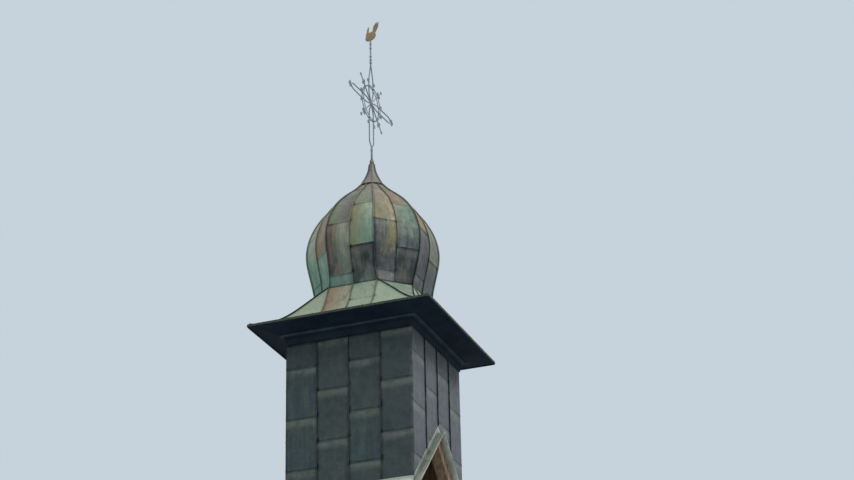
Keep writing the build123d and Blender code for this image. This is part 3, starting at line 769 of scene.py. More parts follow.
# %% Onion sheets
CROWN = ("taupe", "taupe", "rose")
ONION_TONES = {
    "front 0": [("verdigris", "teal", "steel"), ("slate", "umber", "rust", "teal", "straw"),
                ("olive", "taupe", "mauve", "mauve", "mauve"), CROWN],
    "front 1": [("teal", "night", "night", "steel", "night"),
                ("olive", "ochre", "olive", "verdigris", "mint"), ("olive", "taupe", "taupe")],
    "front_right 0": [("slate", "plum", "rose"), ("night", "slate", "ink", "slate", "ochre"),
                      ("ochre", "taupe", "rust", "straw", "taupe"), CROWN],
    "front_right 1": [("night", "night", "night"), ("night", "olive", "steel", "ink", "sage"),
                      ("rust", "rust", "taupe", "taupe", "taupe"), CROWN],
    "right 0": [("ink", "slate", "plum"), ("slate", "plum", "umber"), ("tan", "olive", "rust"), CROWN],
    "right 1": [("plum", "umber", "steel"), ("olive", "taupe", "mauve"), CROWN],
    "front_left 1": [("verdigris", "verdigris", "mint"), ("tan", "beige", "rust"),
                     ("sage", "taupe", "mauve"), CROWN],
    "front_left 0": [("steel", "verdigris", "teal"), ("verdigris", "mint", "straw"),
                     ("mint", "olive", "taupe"), CROWN],
    "back 0": [("teal", "slate", "verdigris"), ("umber", "olive", "rust"), ("sage", "taupe", "rose"), CROWN],
    "back 1": [("slate", "night", "steel"), ("verdigris", "olive", "tan"), ("taupe", "rose", "taupe")],
    "back_right 0": [("umber", "slate", "steel"), ("sage", "olive", "tan"),
                     ("taupe", "mauve", "olive"), CROWN],
    "back_right 1": [("night", "teal", "slate"), ("tan", "ochre", "umber"),
                     ("rose", "taupe", "olive"), CROWN],
    "left 0": [("slate", "umber", "teal"), ("steel", "sage", "olive"), ("olive", "taupe", "tan"), CROWN],
    "left 1": [("teal", "verdigris", "steel"), ("ink", "rust", "tan", "olive", "sage"),
               ("sage", "taupe", "taupe")],
    "back_left 0": [("sage", "teal", "slate"), ("umber", "slate", "olive"),
                    ("olive", "taupe", "rose"), CROWN],
    "back_left 1": [("slate", "night", "verdigris"), ("steel", "olive", "rust"),
                    ("taupe", "rose", "taupe"), CROWN],
}
FACETS = {"front": (0, False), "front_right": (0, True), "right": (90, False), "back_right": (90, True),
          "back": (180, False), "back_left": (180, True), "left": (270, False), "front_left": (270, True)}
FIRST_FOLDS = (1.35, 1.79)                      # from the shaft's top, for a facet's left and right strip
FOLD_CHANCE = 0.03                              # no two folds of a real roof are quite level
FREE_FOOT, FREE_TOP = 0.03, 0.05                # no fold lies nearer than this to the ends
ONION_STEP, FACET_COLUMNS = 0.035, 8
onion_folds = {}


def facet_points(z, share, corner):
    """Points across a facet at share -1 to 1 of its half width, and the direction square to it.

    A main facet lies at share * half width across and at the onion's line outward; a
    corner facet joins the ends of two of them. The direction is out - slope * up.
    """
    flat, facet = onion_flat(z)[:, None], onion_facet(z)[:, None]
    share = np.asarray(share)[None, :]
    if corner:
        middle, reach = (flat + facet) / 2, (flat - facet) / 2
        x, y, out = middle + share * reach, -middle + share * reach, unit(np.array([1.0, -1.0, 0.0]))
    else:
        x, y, out = share * facet, -flat + 0 * share, np.array([0.0, -1.0, 0.0])
    points = np.stack([x, y, np.broadcast_to(z[:, None], x.shape)], axis=-1)
    lean = np.gradient(onion_flat(z), z)[:, None, None]
    return points, np.broadcast_to(unit(out - lean * np.array([0, 0, 1.0])), points.shape)


for name, (angle, corner) in FACETS.items():
    batch = Batch()
    for half in (0, 1):
        key = f"{name} {half}"
        folds = SHAFT_TOP + FIRST_FOLDS[half] + SHEET_PITCH * np.arange(3)
        folds = folds + chance.uniform(-FOLD_CHANCE, FOLD_CHANCE, 3)
        folds = folds[(folds > ONION_FOOT + FREE_FOOT) & (folds < ONION_TOP - FREE_TOP)]
        onion_folds[key] = folds
        z = fold_rows(ONION_FOOT, ONION_TOP, folds, ONION_STEP)
        points, outward = facet_points(z, np.linspace(half - 1, half, FACET_COLUMNS), corner)
        strip(batch, points, outward, z, folds, ONION_TONES[key], BUCKLE, angle)
    piece = batch.build("onion_sheets_" + name, DOME_COPPER, replaces=["onion_" + name])
    give_thickness(piece)
print("onion sheets", len(piece.data.polygons), "faces a facet")

# %% [markdown]
# ## Seams of the onion
# Sixteen seams run up the onion: one on every joint of two facets and one down the
# middle of each. They could all have one dark tone, as those of the shaft do, but
# here they have aged with their sheets. Each takes the mean of its two neighbours.
# They end under the collar of the cap.

# %% Onion seams
SEAM_TONE = 1.2                                 # a worn edge is lighter than its sheets
UNDER_COLLAR = 0.13                             # from the head of a seam to the top of the onion
z = np.linspace(ONION_FOOT + 0.002, ONION_TOP - UNDER_COLLAR, 90)
strip_tones = {key: tone_at(z, onion_folds[key], tones) for key, tones in ONION_TONES.items()}
order = list(FACETS)
batch = Batch()
for index, (name, (angle, corner)) in enumerate(FACETS.items()):
    points, outward = facet_points(z, [0, 1], corner)
    neighbour = order[(index + 1) % len(order)]
    left, right, beyond = (strip_tones[key] for key in (name + " 0", name + " 1", neighbour + " 0"))
    seam(batch, points[:, 0], outward[:, 0], SEAM_TONE * (left + right) / 2, angle)
    # on a joint the seam leans halfway between two facets, which are 45 degrees apart
    seam(batch, points[:, 1], turned(outward[:, 1], 22.5), SEAM_TONE * (right + beyond) / 2, angle)
piece = batch.build("onion_seam_lines", SEAM_COPPER, replaces=["onion_seams"])
print("onion seams", len(piece.data.polygons), "faces")

# %% [markdown]
# ## The skirt roof
# Four main panels of four strips each, and a narrow corner panel that widens from
# almost nothing at the eaves to a side of the octagon at the top. One smooth shell
# would lose these corners. So each panel is a grid between two edges that are
# functions of the height. Rain washes the skirt most, so it is the greenest part,
# with one long brown stain.

# %% Skirt sheets
SKIRT_TONES = {
    "front 0": [("pale", "mint", "pale", "pale", "beige")],
    "front 1": [("tan", "tan", "rust", "pale", "beige")],
    "front 2": [("mint", "pale", "pale"), ("pale", "pale", "sage")],
    "front 3": [("mint", "mint", "pale")],
}
SKIRT_OTHERS = (("pale", "mint", "beige"), ("pale", "beige", "sage"), ("mint", "pale", "rust"),
                ("beige", "pale", "mint"))
CORNER_TONES = [("sage", "beige", "pale")]
SKIRT_FOLD = 0.42                               # from the eaves, where a strip has two sheets
SKIRT_STEP, SKIRT_COLUMNS = 0.03, 8
SKIRT_BUCKLE, CORNER_BUCKLE = 0.003, 0.002
EAVES_ROWS = EAVES + np.array([0, 0.004, 0.009, 0.015, 0.022])
UP = np.array([0, 0, 1.0])


def skirt_rows(folds):
    """Rows closer together where the skirt is flattest, at the eaves."""
    rows = fold_rows(EAVES, ONION_FOOT, folds, SKIRT_STEP)
    return np.unique(np.concatenate([EAVES_ROWS, rows[rows > EAVES + 0.025]]))


def skirt_outward(z, out):
    """Direction square to the skirt: outward, and up by the slope of its line."""
    return unit(np.asarray(out, float) - np.gradient(skirt_flat(z), z)[:, None] * UP)


share = np.linspace(0, 1, SKIRT_COLUMNS)
for side, angle in FACES.items():
    batch = Batch()
    for number in range(4):
        folded = number == 2 or side != "front" and number % 2
        folds = [EAVES + SKIRT_FOLD] if folded else []
        z = skirt_rows(folds)
        hip = np.maximum(skirt_flat(z) - skirt_cut(z), FACET_FOOT)
        line = np.full(len(z), FACET_FOOT)
        # five lines bound the four strips: two hips, two in line with the facet, the middle
        edges = (-hip, -line, 0 * line, line, hip)
        x = edges[number][:, None] + (edges[number + 1] - edges[number])[:, None] * share
        points = np.stack([x, np.broadcast_to(-skirt_flat(z)[:, None], x.shape),
                           np.broadcast_to(z[:, None], x.shape)], axis=-1)
        tones = SKIRT_TONES.get(f"{side} {number}", [SKIRT_OTHERS[(number + angle // 90) % 4]])
        strip(batch, points, skirt_outward(z, (0, -1, 0))[:, None], z, folds, tones, SKIRT_BUCKLE, angle)
    piece = batch.build("skirt_sheets_" + side, SKIRT_COPPER, replaces=["skirt_" + side])
    give_thickness(piece)

batch = Batch()
z = skirt_rows([])
flat, cut = skirt_flat(z)[:, None], skirt_cut(z)[:, None]
x, y = flat - cut + cut * share, -flat + cut * share
points = np.stack([x, y, np.broadcast_to(z[:, None], x.shape)], axis=-1)
outward = skirt_outward(z, unit(np.array([1.0, -1, 0])))[:, None]
for angle in FACES.values():
    strip(batch, points, outward, z, [], CORNER_TONES, CORNER_BUCKLE, angle)
piece = batch.build("skirt_corner_sheets", SKIRT_COPPER, replaces=["skirt_corners"])
give_thickness(piece)
print("skirt corners", len(piece.data.polygons), "faces")

# %% [markdown]
# ## Seams of the skirt
# Three seams run up each main panel, in line with the onion's, and one along each
# edge of a corner panel. A copy of one seam could be bent to each place with a
# curve modifier, but it would lean the wrong way on the slope. Here the outward side
# of a seam is worked out from the gradient of the skirt's line. The seams on the
# hips gather soot and are darker.

# %% Skirt seams
SKIRT_SEAM = linear("#747A66")
HIP_SEAM = linear("#26332B")
HIP_OUT = (0.38, -0.92)                         # a hip's seam leans halfway between its two panels
z = np.unique(np.concatenate([EAVES + np.linspace(0.001, 0.03, 8),
                              np.linspace(EAVES + 0.04, ONION_FOOT - 0.004, 36)]))
flat, cut = skirt_flat(z), skirt_cut(z)
batch = Batch()
for angle in FACES.values():
    for x in (-FACET_FOOT, 0, FACET_FOOT):
        line = np.stack([np.full_like(z, x), -flat, z], axis=-1)
        seam(batch, line, skirt_outward(z, (0, -1, 0)), SKIRT_SEAM, angle)
    for way in (-1, 1):
        line = np.stack([way * (flat - cut), -flat, z], axis=-1)
        seam(batch, line, skirt_outward(z, (way * HIP_OUT[0], HIP_OUT[1], 0)), HIP_SEAM, angle)
piece = batch.build("skirt_seam_lines", SEAM_COPPER, replaces=["skirt_seams"])
print("skirt seams", len(piece.data.polygons), "faces")

# %% [markdown]
# ## Paint, iron and gilding
# The cornice is timber under dark painted sheet. The cross is forged bar with old
# grey paint and rust in its corners. The cock was gilt once. All three could share
# one flat colour with a gloss, but old oil paint is never even. It chalks in clouds
# of 350 mm, runs down in streaks 40 mm wide, and chips in spots of 20 mm, which are
# rougher than the coat.
# On the cornice the frieze and the bead are painted lighter, as highlights, and the coat is painted darker,
# as the shade under the eaves.

# %% Paint, iron and gilding
HIGHLIGHT_EDGE = 0.003


def painted_metal(name, coat, worn, roughness, metallic=0.0, chips=0.5, gloss=0.5, highlight_bands=()):
    """Old oil paint: a dull coat, worn in chips and runs, with painted highlights in bands of height (foot,
    top, hex).
    """
    material, tree, place = start_material(name)
    clouds = patches(tree, place, 0.35, 0.35, 0.7)
    spots = patches(tree, place, 0.02, 0.56, 0.68, detail=6.0)
    height = add(tree, "SeparateXYZ", {0: place}, out=2)
    colour = layered(tree, linear(coat), [
        # painted highlights: lighter bands of height where the light catches the mouldings
        *((linear(pale), 1.0, "MIX", (height, foot, foot + HIGHLIGHT_EDGE), (height, top, top - HIGHLIGHT_EDGE))
          for foot, top, pale in highlight_bands),
        ((0.62, 0.62, 0.62), 1.0, "MULTIPLY", clouds),
        (linear(worn), 0.5 * chips, "MIX", patches(tree, place, 0.04, 0.52, 0.74, (1, 1, 14))),
        (linear(worn), chips, "MIX", spots)])
    close_material(tree, colour, (spots, 0.0, 1.0, roughness, roughness + 0.22), metallic,
                   [(clouds, 0.002), (spots, 0.0008)], gloss)
    return material


# painted highlights on the cornice: the frieze and the bead, lighter where light falls on them
FRIEZE_HIGHLIGHT = (SHAFT_TOP, SHAFT_TOP + 0.12, "#232E38")
BEAD_HIGHLIGHT = (SHAFT_TOP + 0.158, SHAFT_TOP + 0.194, "#38444E")
# brushed linseed paint on sheet: dark and chalky, with no gloss left; the coat is darker still as painted
# shade under the eaves
CORNICE_PAINT = painted_metal("dark painted cornice", "#18232E", "#222D36", 0.8, chips=0.25, gloss=0.06,
                              highlight_bands=(FRIEZE_HIGHLIGHT, BEAD_HIGHLIGHT))
# forged bar, painted grey: rust shows wherever the coat has chipped
IRON = painted_metal("painted wrought iron", "#78868C", "#75675C", 0.55, 0.1)
# gold leaf on beaten copper: dull gold, and brown where the leaf is gone
GILDING = painted_metal("worn gilding on copper", "#917D61", "#5C5347", 0.5, 0.2)
print("paint on", CORNICE_PAINT.name, "and", IRON.name)

# %% [markdown]
# ## Oak and spruce
# The frame inside is oak, and the boards are sawn spruce, 150 mm wide. Both show
# only from below and through the inverted V. An image of planks would repeat, while
# noise that is stretched along Z gives fibres without end. The flames of the growth
# rings are 90 mm wide. Real fibres are a millimetre wide, and are drawn at 11 mm so
# that they show. White noise of the board's number gives each board its own tone.

# %% Wood
def sawn_wood(name, pale, dark, board=None):
    """Softwood or oak: fibres along Z, growth bands, and boards of one width that differ in tone."""
    material, tree, place = start_material(name)
    fibre = patches(tree, place, 0.011, 0.4, 0.75, (1, 1, 36), rough=0.7)
    bands = patches(tree, place, 0.09, 0.4, 0.62, (1, 1, 15))
    dark = linear(dark)
    colour = layered(tree, linear(pale), [(dark, 0.8, "MIX", bands), (dark, 0.6, "MIX", fibre)])
    if board:
        x, y = (add(tree, "SeparateXYZ", {0: place}, out=axis) for axis in (0, 1))
        along = add(tree, "Math", {0: x, 1: y}, operation="ADD")
        across = add(tree, "Math", {0: along, 1: board}, operation="DIVIDE")
        number = add(tree, "Math", {0: across}, operation="FLOOR")
        inside = add(tree, "Math", {0: across}, operation="FRACT")
        tone = add(tree, "TexWhiteNoise", {"W": number}, noise_dimensions="1D")
        colour = layered(tree, colour, [
            ((0.55, 0.55, 0.55), 0.7, "MULTIPLY", tone),
            # the dark gap between two boards
            ((0.08, 0.07, 0.06), 1.0, "MULTIPLY", (from_middle(tree, inside), 0.47, 0.495))])
    close_material(tree, colour, (fibre, 0.0, 1.0, 0.65, 0.9), 0.0, [(bands, 0.001), (fibre, 0.001)])
    return material


# hewn oak in the dry: grey-brown and coarse
OAK = sawn_wood("old oak frame", "#8A745A", "#5B4A39")
# rough-sawn spruce: paler and finer, each board with its own tone
BOARDS = sawn_wood("spruce boarding", "#9C8466", "#6A5540", board=0.15)
print("wood on", OAK.name, "and", BOARDS.name)

# %% [markdown]
# ## Finishes on the frame
# The parts of the frame itself need a finish too, for some show below and inside.
# Each has a slot in the record, which says what it is made of, so one table of slots
# does it for all of them, and no part can be forgotten.

# %% Finishes on the frame
finishes = {"oak_frame": OAK, "boarding": BOARDS, "shaft_copper": DRIP_COPPER,
            "flashing_copper": FLASHING_COPPER, "cornice_paint": CORNICE_PAINT, "drip_copper": DRIP_COPPER,
            "skirt_copper": FLASHING_COPPER, "onion_copper": CAP_COPPER, "cap_copper": CAP_COPPER,
            "wrought_iron": IRON, "cock_gilding": GILDING}
for part in frame["record"]["subparts"]:
    mesh = nodes[part["node"]].data
    mesh.materials.clear()
    mesh.materials.append(finishes[part["material_slot"]])

# %% [markdown]
# ## The drip edge
# A strip of copper is folded over the edge of the cornice, so that rain drips clear
# of the paint. Its hem is rolled over a wire, which keeps thin sheet straight. It
# could be bevelled from a box, but the roll is what shows from below. So one outline
# is carried along the face and its ends are cut on the mitre, and four turned copies
# close round the square. Every metre a sheet laps over the next.

# %% Drip edge
LAP_LIFT, WAVE = 0.0015, 0.0008


def hem(middle, radius, start, end, count=9):
    """Points of an arc, in degrees, for a rolled edge."""
    angle = np.radians(np.linspace(start, end, count))
    return np.array(middle) + radius * np.stack([np.cos(angle), np.sin(angle)], axis=-1)


def mitred_run(batch, outline, reach, angle, laps=1.0, mitre=1.0):
    """Carries (out, up) points along a face; at each one the run ends at x = reach + mitre * out.

    Every `laps` metres a sheet laps over the next, which lifts the outline, and a slow
    wave runs along it.
    """
    outline = np.concatenate([outline, outline[:1]])
    share = np.linspace(-1, 1, 2 * int(reach / 0.06) + 1)
    x = share[:, None] * (reach + mitre * outline[:, 0])
    lift = LAP_LIFT * np.clip(1 - (x / laps) % 1 * 8, 0, 1) + WAVE * np.sin(9 * x + outline[:, 0])
    away = unit(outline - outline.mean(axis=0))
    y = -(reach + outline[:, 0]) - lift * away[:, 0]
    z = outline[:, 1] + lift * away[:, 1]
    points = np.stack([x, y, z], axis=-1)
    grid = np.concatenate([drawn_together(points[:1]), points, drawn_together(points[-1:])])
    batch.add_grid(turned(grid, angle)[:, ::-1])


DRIP_OUT, DRIP_TOP, DRIP_FALL = 0.010, EAVES + 0.006, 0.046
drip_foot = DRIP_TOP - DRIP_FALL
drip_outline = np.concatenate([
    [(0.0, DRIP_TOP), (0.0, drip_foot + 0.012)],
    hem((0.0055, drip_foot + 0.007), 0.0068, 150, 380),
    [(DRIP_OUT - 0.0035, drip_foot + 0.016), (DRIP_OUT - 0.0035, DRIP_TOP - 0.014)],
    hem((0.004, DRIP_TOP - 0.0055), 0.0055, 0, 90, 5)])
batch = Batch()
for angle in FACES.values():
    mitred_run(batch, drip_outline, EAVES_HALF, angle)
piece = batch.build("rolled_drip_edge", DRIP_COPPER, replaces=["drip_edge"])
print("drip edge", len(piece.data.polygons), "faces")

# %% [markdown]
# ## Flashing at the front and back
# At the foot of the shaft a bent sheet keeps the rain out: an upstand 85 mm high
# with a rolled hem, and a lap that slopes away for 130 mm. It is carried along the
# face as the drip edge is, but its ends are cut square. The upstand stands off far
# enough to clear the buckles of the shaft's sheets, which it would cut otherwise.

# %% Front and back flashing
LAP = 0.13
LAP_RUN = LAP * cos(ROOF_PITCH)
UPSTAND = 0.085
SHEET = 0.003
STAND_OFF = 0.0068
lap_edge = ROOF_FOOT - LAP_RUN * SLOPE
bend = ROOF_FOOT + SHEET / cos(ROOF_PITCH) - STAND_OFF * SLOPE
front_outline = np.concatenate([
    [(0.0, ROOF_FOOT), (0.0, ROOF_FOOT + UPSTAND)],
    hem((STAND_OFF, ROOF_FOOT + UPSTAND - 0.002), 0.0035, 140, -90, 8),
    [(STAND_OFF, bend), (LAP_RUN - 0.006, lap_edge + 0.011)],
    hem((LAP_RUN - 0.005, lap_edge + 0.0052), 0.0052, 60, -120, 7)])
for side in ENDS:
    batch = Batch()
    mitred_run(batch, front_outline, HALF, FACES[side], laps=0.9, mitre=0.0)
    piece = batch.build(side + "_flashing", FLASHING_COPPER,
                        replaces=["flashing_" + side])
print("front and back flashing", len(piece.data.polygons), "faces each")

# %% [markdown]
# ## Flashing at the sides
# On the sides the flashing runs down both legs of the inverted V. Turning a straight
# run by 46 degrees would leave its ends square to the slope. Here every point of the
# outline rises from the foot of the side instead, so that the legs end upright and
# meet in one line at the top.

# %% Side flashing
SIDE_WAVE = 0.0012


def leg(batch, outline, far, way, angle):
    """One leg of the inverted V: (out, rise) points stand on the side's foot from its middle to y = far."""
    outline = np.concatenate([outline, outline[:1]])
    y = np.linspace(0.0005, far, 40)[:, None] + 0 * outline[:, 0]
    wave = SIDE_WAVE * np.sin(7 * y + 40 * outline[:, 0]) * np.clip(outline[:, 0] * 20, 0, 1)
    x = HALF + outline[:, 0] + 0 * y
    z = roof_line(y) + (outline[:, 1] + wave.clip(0)) / cos(ROOF_PITCH)
    points = np.stack([x, -way * y, z], axis=-1)
    grid = turned(np.concatenate([drawn_together(points[:1]), points, drawn_together(points[-1:])]), angle)
    batch.add_grid(grid if way == 1 else grid[:, ::-1])


upstand = np.concatenate([[(0.0, 0.0), (0.0, UPSTAND)],
                          hem((STAND_OFF, UPSTAND - 0.003), 0.0032, 140, -90, 8), [(STAND_OFF, 0.0)]])
lap = np.concatenate([[(0.0, 0.0), (0.0, SHEET)], [(LAP - 0.008, SHEET)],
                      hem((LAP - 0.004, 0.0042), 0.004, 120, -90, 8)])
for side, angle in (("right", 0), ("left", 180)):
    batch = Batch()
    for way in (1, -1):
        leg(batch, upstand, HALF, way, angle)
        leg(batch, lap, HALF + LAP_RUN, way, angle)
    piece = batch.build(side + "_flashing", FLASHING_COPPER,
                        replaces=["flashing_" + side])
print("side flashing", len(piece.data.polygons), "faces each")

# %% [markdown]
# ## The cap
# The cap is beaten from one sheet round a cone. Its foot is rolled into a bead
# over the onion's seams, painted dark as the shadow under the cap's lip, and eight
# low folds run up it. A screw modifier could turn such pieces, but a grid of
# (radius, height) points turned about the axis is as short, is closed at its poles,
# and can twist, which the spindle needs later.

# %% Cap
def rounded(wide, deep, count=12, square=0.5):
    """Outline of a bar with soft edges: a superellipse, |x|^n + |y|^n = 1 with n = 2 / square."""
    angle = np.linspace(0, 2 * pi, count, endpoint=False)
    c, s = np.cos(angle), np.sin(angle)
    x, y = np.sign(c) * np.abs(c) ** square, np.sign(s) * np.abs(s) ** square
    return np.stack([wide * x, deep * y], axis=-1)


def lathe(batch, profile, sides, twist=None):
    """Turns (radius, height) points about Z; twist is (size, metres a turn) of a square bar's edges."""
    radius, height = np.asarray(profile, float).T[..., None]
    angle = np.linspace(0, 2 * pi, sides, endpoint=False)[None, :]
    if twist:
        radius = radius + twist[0] * np.cos(4 * angle - 2 * pi * 4 * height / twist[1]) * (radius > 0.001)
    points = np.stack([radius * np.cos(angle), radius * np.sin(angle), height + 0 * angle], axis=-1)
    batch.add_grid(points, wrap=True)


def ring_points(count):
    """Points of a circle of radius one, the last one on the first."""
    angle = np.radians(np.linspace(0, 360, count))
    return np.cos(angle), np.sin(angle)


COLLAR_FOOT = ONION_TOP - 0.15
known_z = np.array([COLLAR_FOOT, ONION_TOP - 0.08, ONION_TOP, ONION_TOP + 0.06, ONION_TOP + 0.13,
                    ONION_TOP + 0.2, CAP_TOP])
# just outside the onion as far as its top, then a cone that narrows to the knob
known_r = np.concatenate([1.075 * onion_flat(known_z[:3]) + 0.008, [0.135, 0.101, 0.075, 0.044]])
cap_z = np.linspace(COLLAR_FOOT, CAP_TOP, 40)
cap_r = through(cap_z, known_z, known_r)
inside_r, inside_z = cap_r[0] - 0.03, COLLAR_FOOT + 0.012
cap_profile = np.concatenate([[(0, inside_z), (inside_r, inside_z)], np.stack([cap_r, cap_z], axis=-1),
                              [(0, CAP_TOP)]])
batch = Batch()
lathe(batch, cap_profile, 64)
batch.build("beaten_cap", CAP_COPPER, replaces=["onion_cap"])

across, up = ring_points(65)
bead = np.stack([cap_r[0] * across, cap_r[0] * up, COLLAR_FOOT + 0 * up], axis=-1)
batch = Batch()
# the bead's very dark tone is painted shadow under the cap's lip
tube(batch, bead, (0, 0, 1), rounded(0.013, 0.013, 10, 1.0), tone=0.45 * TONE["umber"], loop=True)
batch.build("cap_bead", SEAM_COPPER, replaces=["onion_cap"])

batch = Batch()
line = np.stack([0 * cap_r, -cap_r, cap_z], axis=-1)
for angle in np.arange(8) * 45 + 22.5:
    tube(batch, line, (0, -1, 0.3), SEAM_OUTLINE * 0.55, tone=0.8 * TONE["taupe"], angle=angle)
piece = batch.build("cap_folds", SEAM_COPPER, replaces=["onion_cap"])
print("cap folds", len(piece.data.polygons), "faces")

# %% [markdown]
# ## Knob and mast
# A hollow copper ball keeps rain from the foot of the mast. Ball and tube could be a
# sphere and a cylinder. The real ball is spun in two halves, so it is a little flat
# and sits between two rims, and the tube swells under the cross. A profile of a few
# points says all of that, and the same lathe turns it.

# %% Knob and mast
KNOB = 0.044
KNOB_HIGH = 0.088
ball = np.radians(np.linspace(-65, 65, 15))
ball = np.stack([KNOB * np.cos(ball), KNOB + KNOB * 0.86 * np.sin(ball)], axis=-1)
knob_profile = np.concatenate([[(0, 0), (0.031, 0), (0.033, 0.005), (0.028, 0.009)], ball,
                               [(0.028, 0.079), (0.033, 0.083), (0.031, KNOB_HIGH), (0, KNOB_HIGH)]])
batch = Batch()
lathe(batch, knob_profile + (0, CAP_TOP), 32)
batch.build("knob_ball", CAP_COPPER, replaces=["knob"])

collar = np.array([(0.0195, -0.06), (0.0225, -0.045), (0.0245, -0.03), (0.0225, -0.015), (0.0195, -0.005),
                   (0, -0.001)]) + (0, CROSS_FOOT)
batch = Batch()
lathe(batch, np.concatenate([[(0, CAP_TOP - 0.1), (0.02, CAP_TOP - 0.1)], collar]), 24)
piece = batch.build("mast_tube", IRON, replaces=["mast"])
print("mast", len(piece.data.polygons), "faces")

# %% [markdown]
# ## The wrought cross
# A smith draws each arm as a pair of bars that part at the boss and close again at
# the tip, with scrolls outside a double ring and three small leaves on every end.
# Bevelled curves could draw it, but forged bars are flat and their scrolls grow
# thinner towards the eye, and both ask for control of the outline. So each bar is a
# line in the plane of the cross with a soft-edged outline carried along it.

# %% Arms and rays of the cross
CROSS_MIDDLE = CROSS_HEAD - 0.85
TURN = -4                                       # degrees that the cross is turned on its mast
# angle, length, half width, and the share of the length in which the pair closes
ARMS = ((0, 0.89, 0.06, 0.13), (90, 0.85, 0.088, 0.4), (180, 0.89, 0.06, 0.13), (270, 0.975, 0.088, 0.13))
DIAGONALS = (45, 135, 225, 315)
RING, SCROLL, LEAF, RAY = 0.355, 0.037, 0.017, 0.61
BAR_DEPTH = 0.011


def on_cross(flat, depth=0.0):
    """Puts (along, up) points of the cross's plane in their place; depth is out of that plane."""
    flat = np.asarray(flat, float)
    points = np.stack([0 * flat[..., 0] + depth, flat[..., 0], flat[..., 1] + CROSS_MIDDLE], axis=-1)
    return turned(points, TURN)


def spun(flat, angle):
    """(along, up) points turned in the plane of the cross."""
    c, s = cos(radians(angle)), sin(radians(angle))
    return np.asarray(flat, float) @ np.array([[c, s], [-s, c]])


def softened(points):
    """Corners cut at a quarter and three quarters of every run, twice over: they become curves."""
    for _ in range(2):
        ahead = np.roll(points, -1, axis=0)
        points = np.stack([0.75 * points + 0.25 * ahead, 0.25 * points + 0.75 * ahead], axis=1).reshape(-1, 2)
    return points


PLANE_OUT = turned(np.array([1.0, 0, 0]), TURN)
batch = Batch()
for angle, length, wide, taper in ARMS:
    shoulder = length * (1 - taper)
    half_loop = np.array([(0.015, 0.004), (0.14, 0.7 * wide), (0.21, 0.97 * wide), (0.26, wide),
                          (shoulder - 0.08, wide), (shoulder, 0.97 * wide),
                          (shoulder + 0.3 * (length - shoulder), 0.7 * wide),
                          (length - 0.03, 0.1 * wide), (length - 0.009, 0.006)])
    loop = spun(softened(np.concatenate([half_loop, half_loop[::-1] * (1, -1)])), angle)
    tube(batch, on_cross(np.concatenate([loop, loop[:1]])), PLANE_OUT, rounded(0.0085, BAR_DEPTH), loop=True)
for angle in DIAGONALS:
    ray = spun(np.stack([np.linspace(0, RAY, 12), np.zeros(12)], axis=-1), angle)
    tube(batch, on_cross(ray), PLANE_OUT, rounded(0.0062, BAR_DEPTH), scale=np.linspace(1.1, 0.8, 12))
for foot, thick in ((-0.975, 0.02), (0.85, 0.015)):
    stub = np.stack([np.zeros(6), foot - np.sign(foot) * np.linspace(0.001, 0.05, 6)], axis=-1)
    tube(batch, on_cross(stub), PLANE_OUT, rounded(thick, BAR_DEPTH), scale=(0.85, 1, 1, 1, 0.8, 0.5))
piece = batch.build("cross_bars", IRON, replaces=["cross_frame"])
print("cross bars", len(piece.data.polygons), "faces")

# %% [markdown]
# ## Scrolls
# A smith rolls the end of a thin bar round itself. The scroll could be drawn through
# points by eye, but a spiral is exact: two thirds of a turn of even radius where it
# lies on the bar, then a radius that shrinks in step with the angle. The bar grows
# thinner on the way in.

# %% Scrolls
CURL, EYE_CURL = 0.0315, 0.0085
TURNS = (180, 420, 650)
SCROLL_REACH = RING + SCROLL + 0.02
# angle, distance of the scroll from the middle of its bar, and how much further out it lies
SCROLLS = ([(angle, 0.074, 0) for angle in (0, 180)] + [(angle, 0.096, SCROLL) for angle in (90, 270)]
           + [(angle, 0.006, SCROLL) for angle in DIAGONALS])
theta = np.radians(np.linspace(TURNS[0], TURNS[-1], 44))
curl = np.interp(np.degrees(theta), TURNS, [CURL, CURL, EYE_CURL])
spiral = np.stack([curl * np.cos(theta), curl * np.sin(theta)], axis=-1)
batch = Batch()
for angle, face, further in SCROLLS:
    for way in (1, -1):
        flat = (spiral + (SCROLL_REACH + further, face + CURL)) * (1, way)
        tube(batch, on_cross(spun(flat, angle)), PLANE_OUT, rounded(0.0055, 0.0095),
             scale=np.linspace(1.0, 0.62, 44))
piece = batch.build("cross_scrolls", IRON, replaces=["cross_frame"])
print("scrolls", 2 * len(SCROLLS), "with", len(piece.data.polygons), "faces")

# %% [markdown]
# ## Leaves, rings and rivets
# Leaves and rivets are hammered flat. Balls scaled flat would do, but a grid with
# its poles in the two faces has its smallest squares where no edge is. Each row is a
# circle whose radius and depth follow a cosine and a sine. Rivets hold the two rings
# where the bars of the arms cross them.

# %% Leaves and rings
ARM_TIP = 0.89
RING_FROM_MIDDLE = 0.017                        # each of the two rings, from the plane of the cross
RIVET, RIVET_FOOT, RIVET_RISE = 0.0085, 0.0215, 0.0045


def dome(batch, middle, radius, depth, sides=14, rows=9):
    """Flat round leaf or boss: radius * cos(a), depth * sin(a), for a from -90 to 90 degrees."""
    a = np.linspace(-pi / 2, pi / 2, rows)[:, None]
    b = np.linspace(0, 2 * pi, sides, endpoint=False)[None, :]
    flat = np.stack([radius * np.cos(a) * np.cos(b), radius * np.cos(a) * np.sin(b)], axis=-1) + middle
    batch.add_grid(on_cross(flat, depth * np.sin(a) + 0 * b), wrap=True)


def rivet(batch, middle, face):
    """Half of such a dome on one face of the rings."""
    b = np.linspace(0, 2 * pi, 10, endpoint=False)[None, :]
    a = np.linspace(0, pi / 2, 4)[:, None]
    flat = RIVET * np.stack([np.cos(a) * np.cos(b), np.cos(a) * np.sin(b)], axis=-1) + middle
    grid = on_cross(flat, face * (RIVET_FOOT + RIVET_RISE * np.sin(a)) + 0 * b)
    batch.add_grid(grid if face == 1 else grid[:, ::-1], wrap=True)


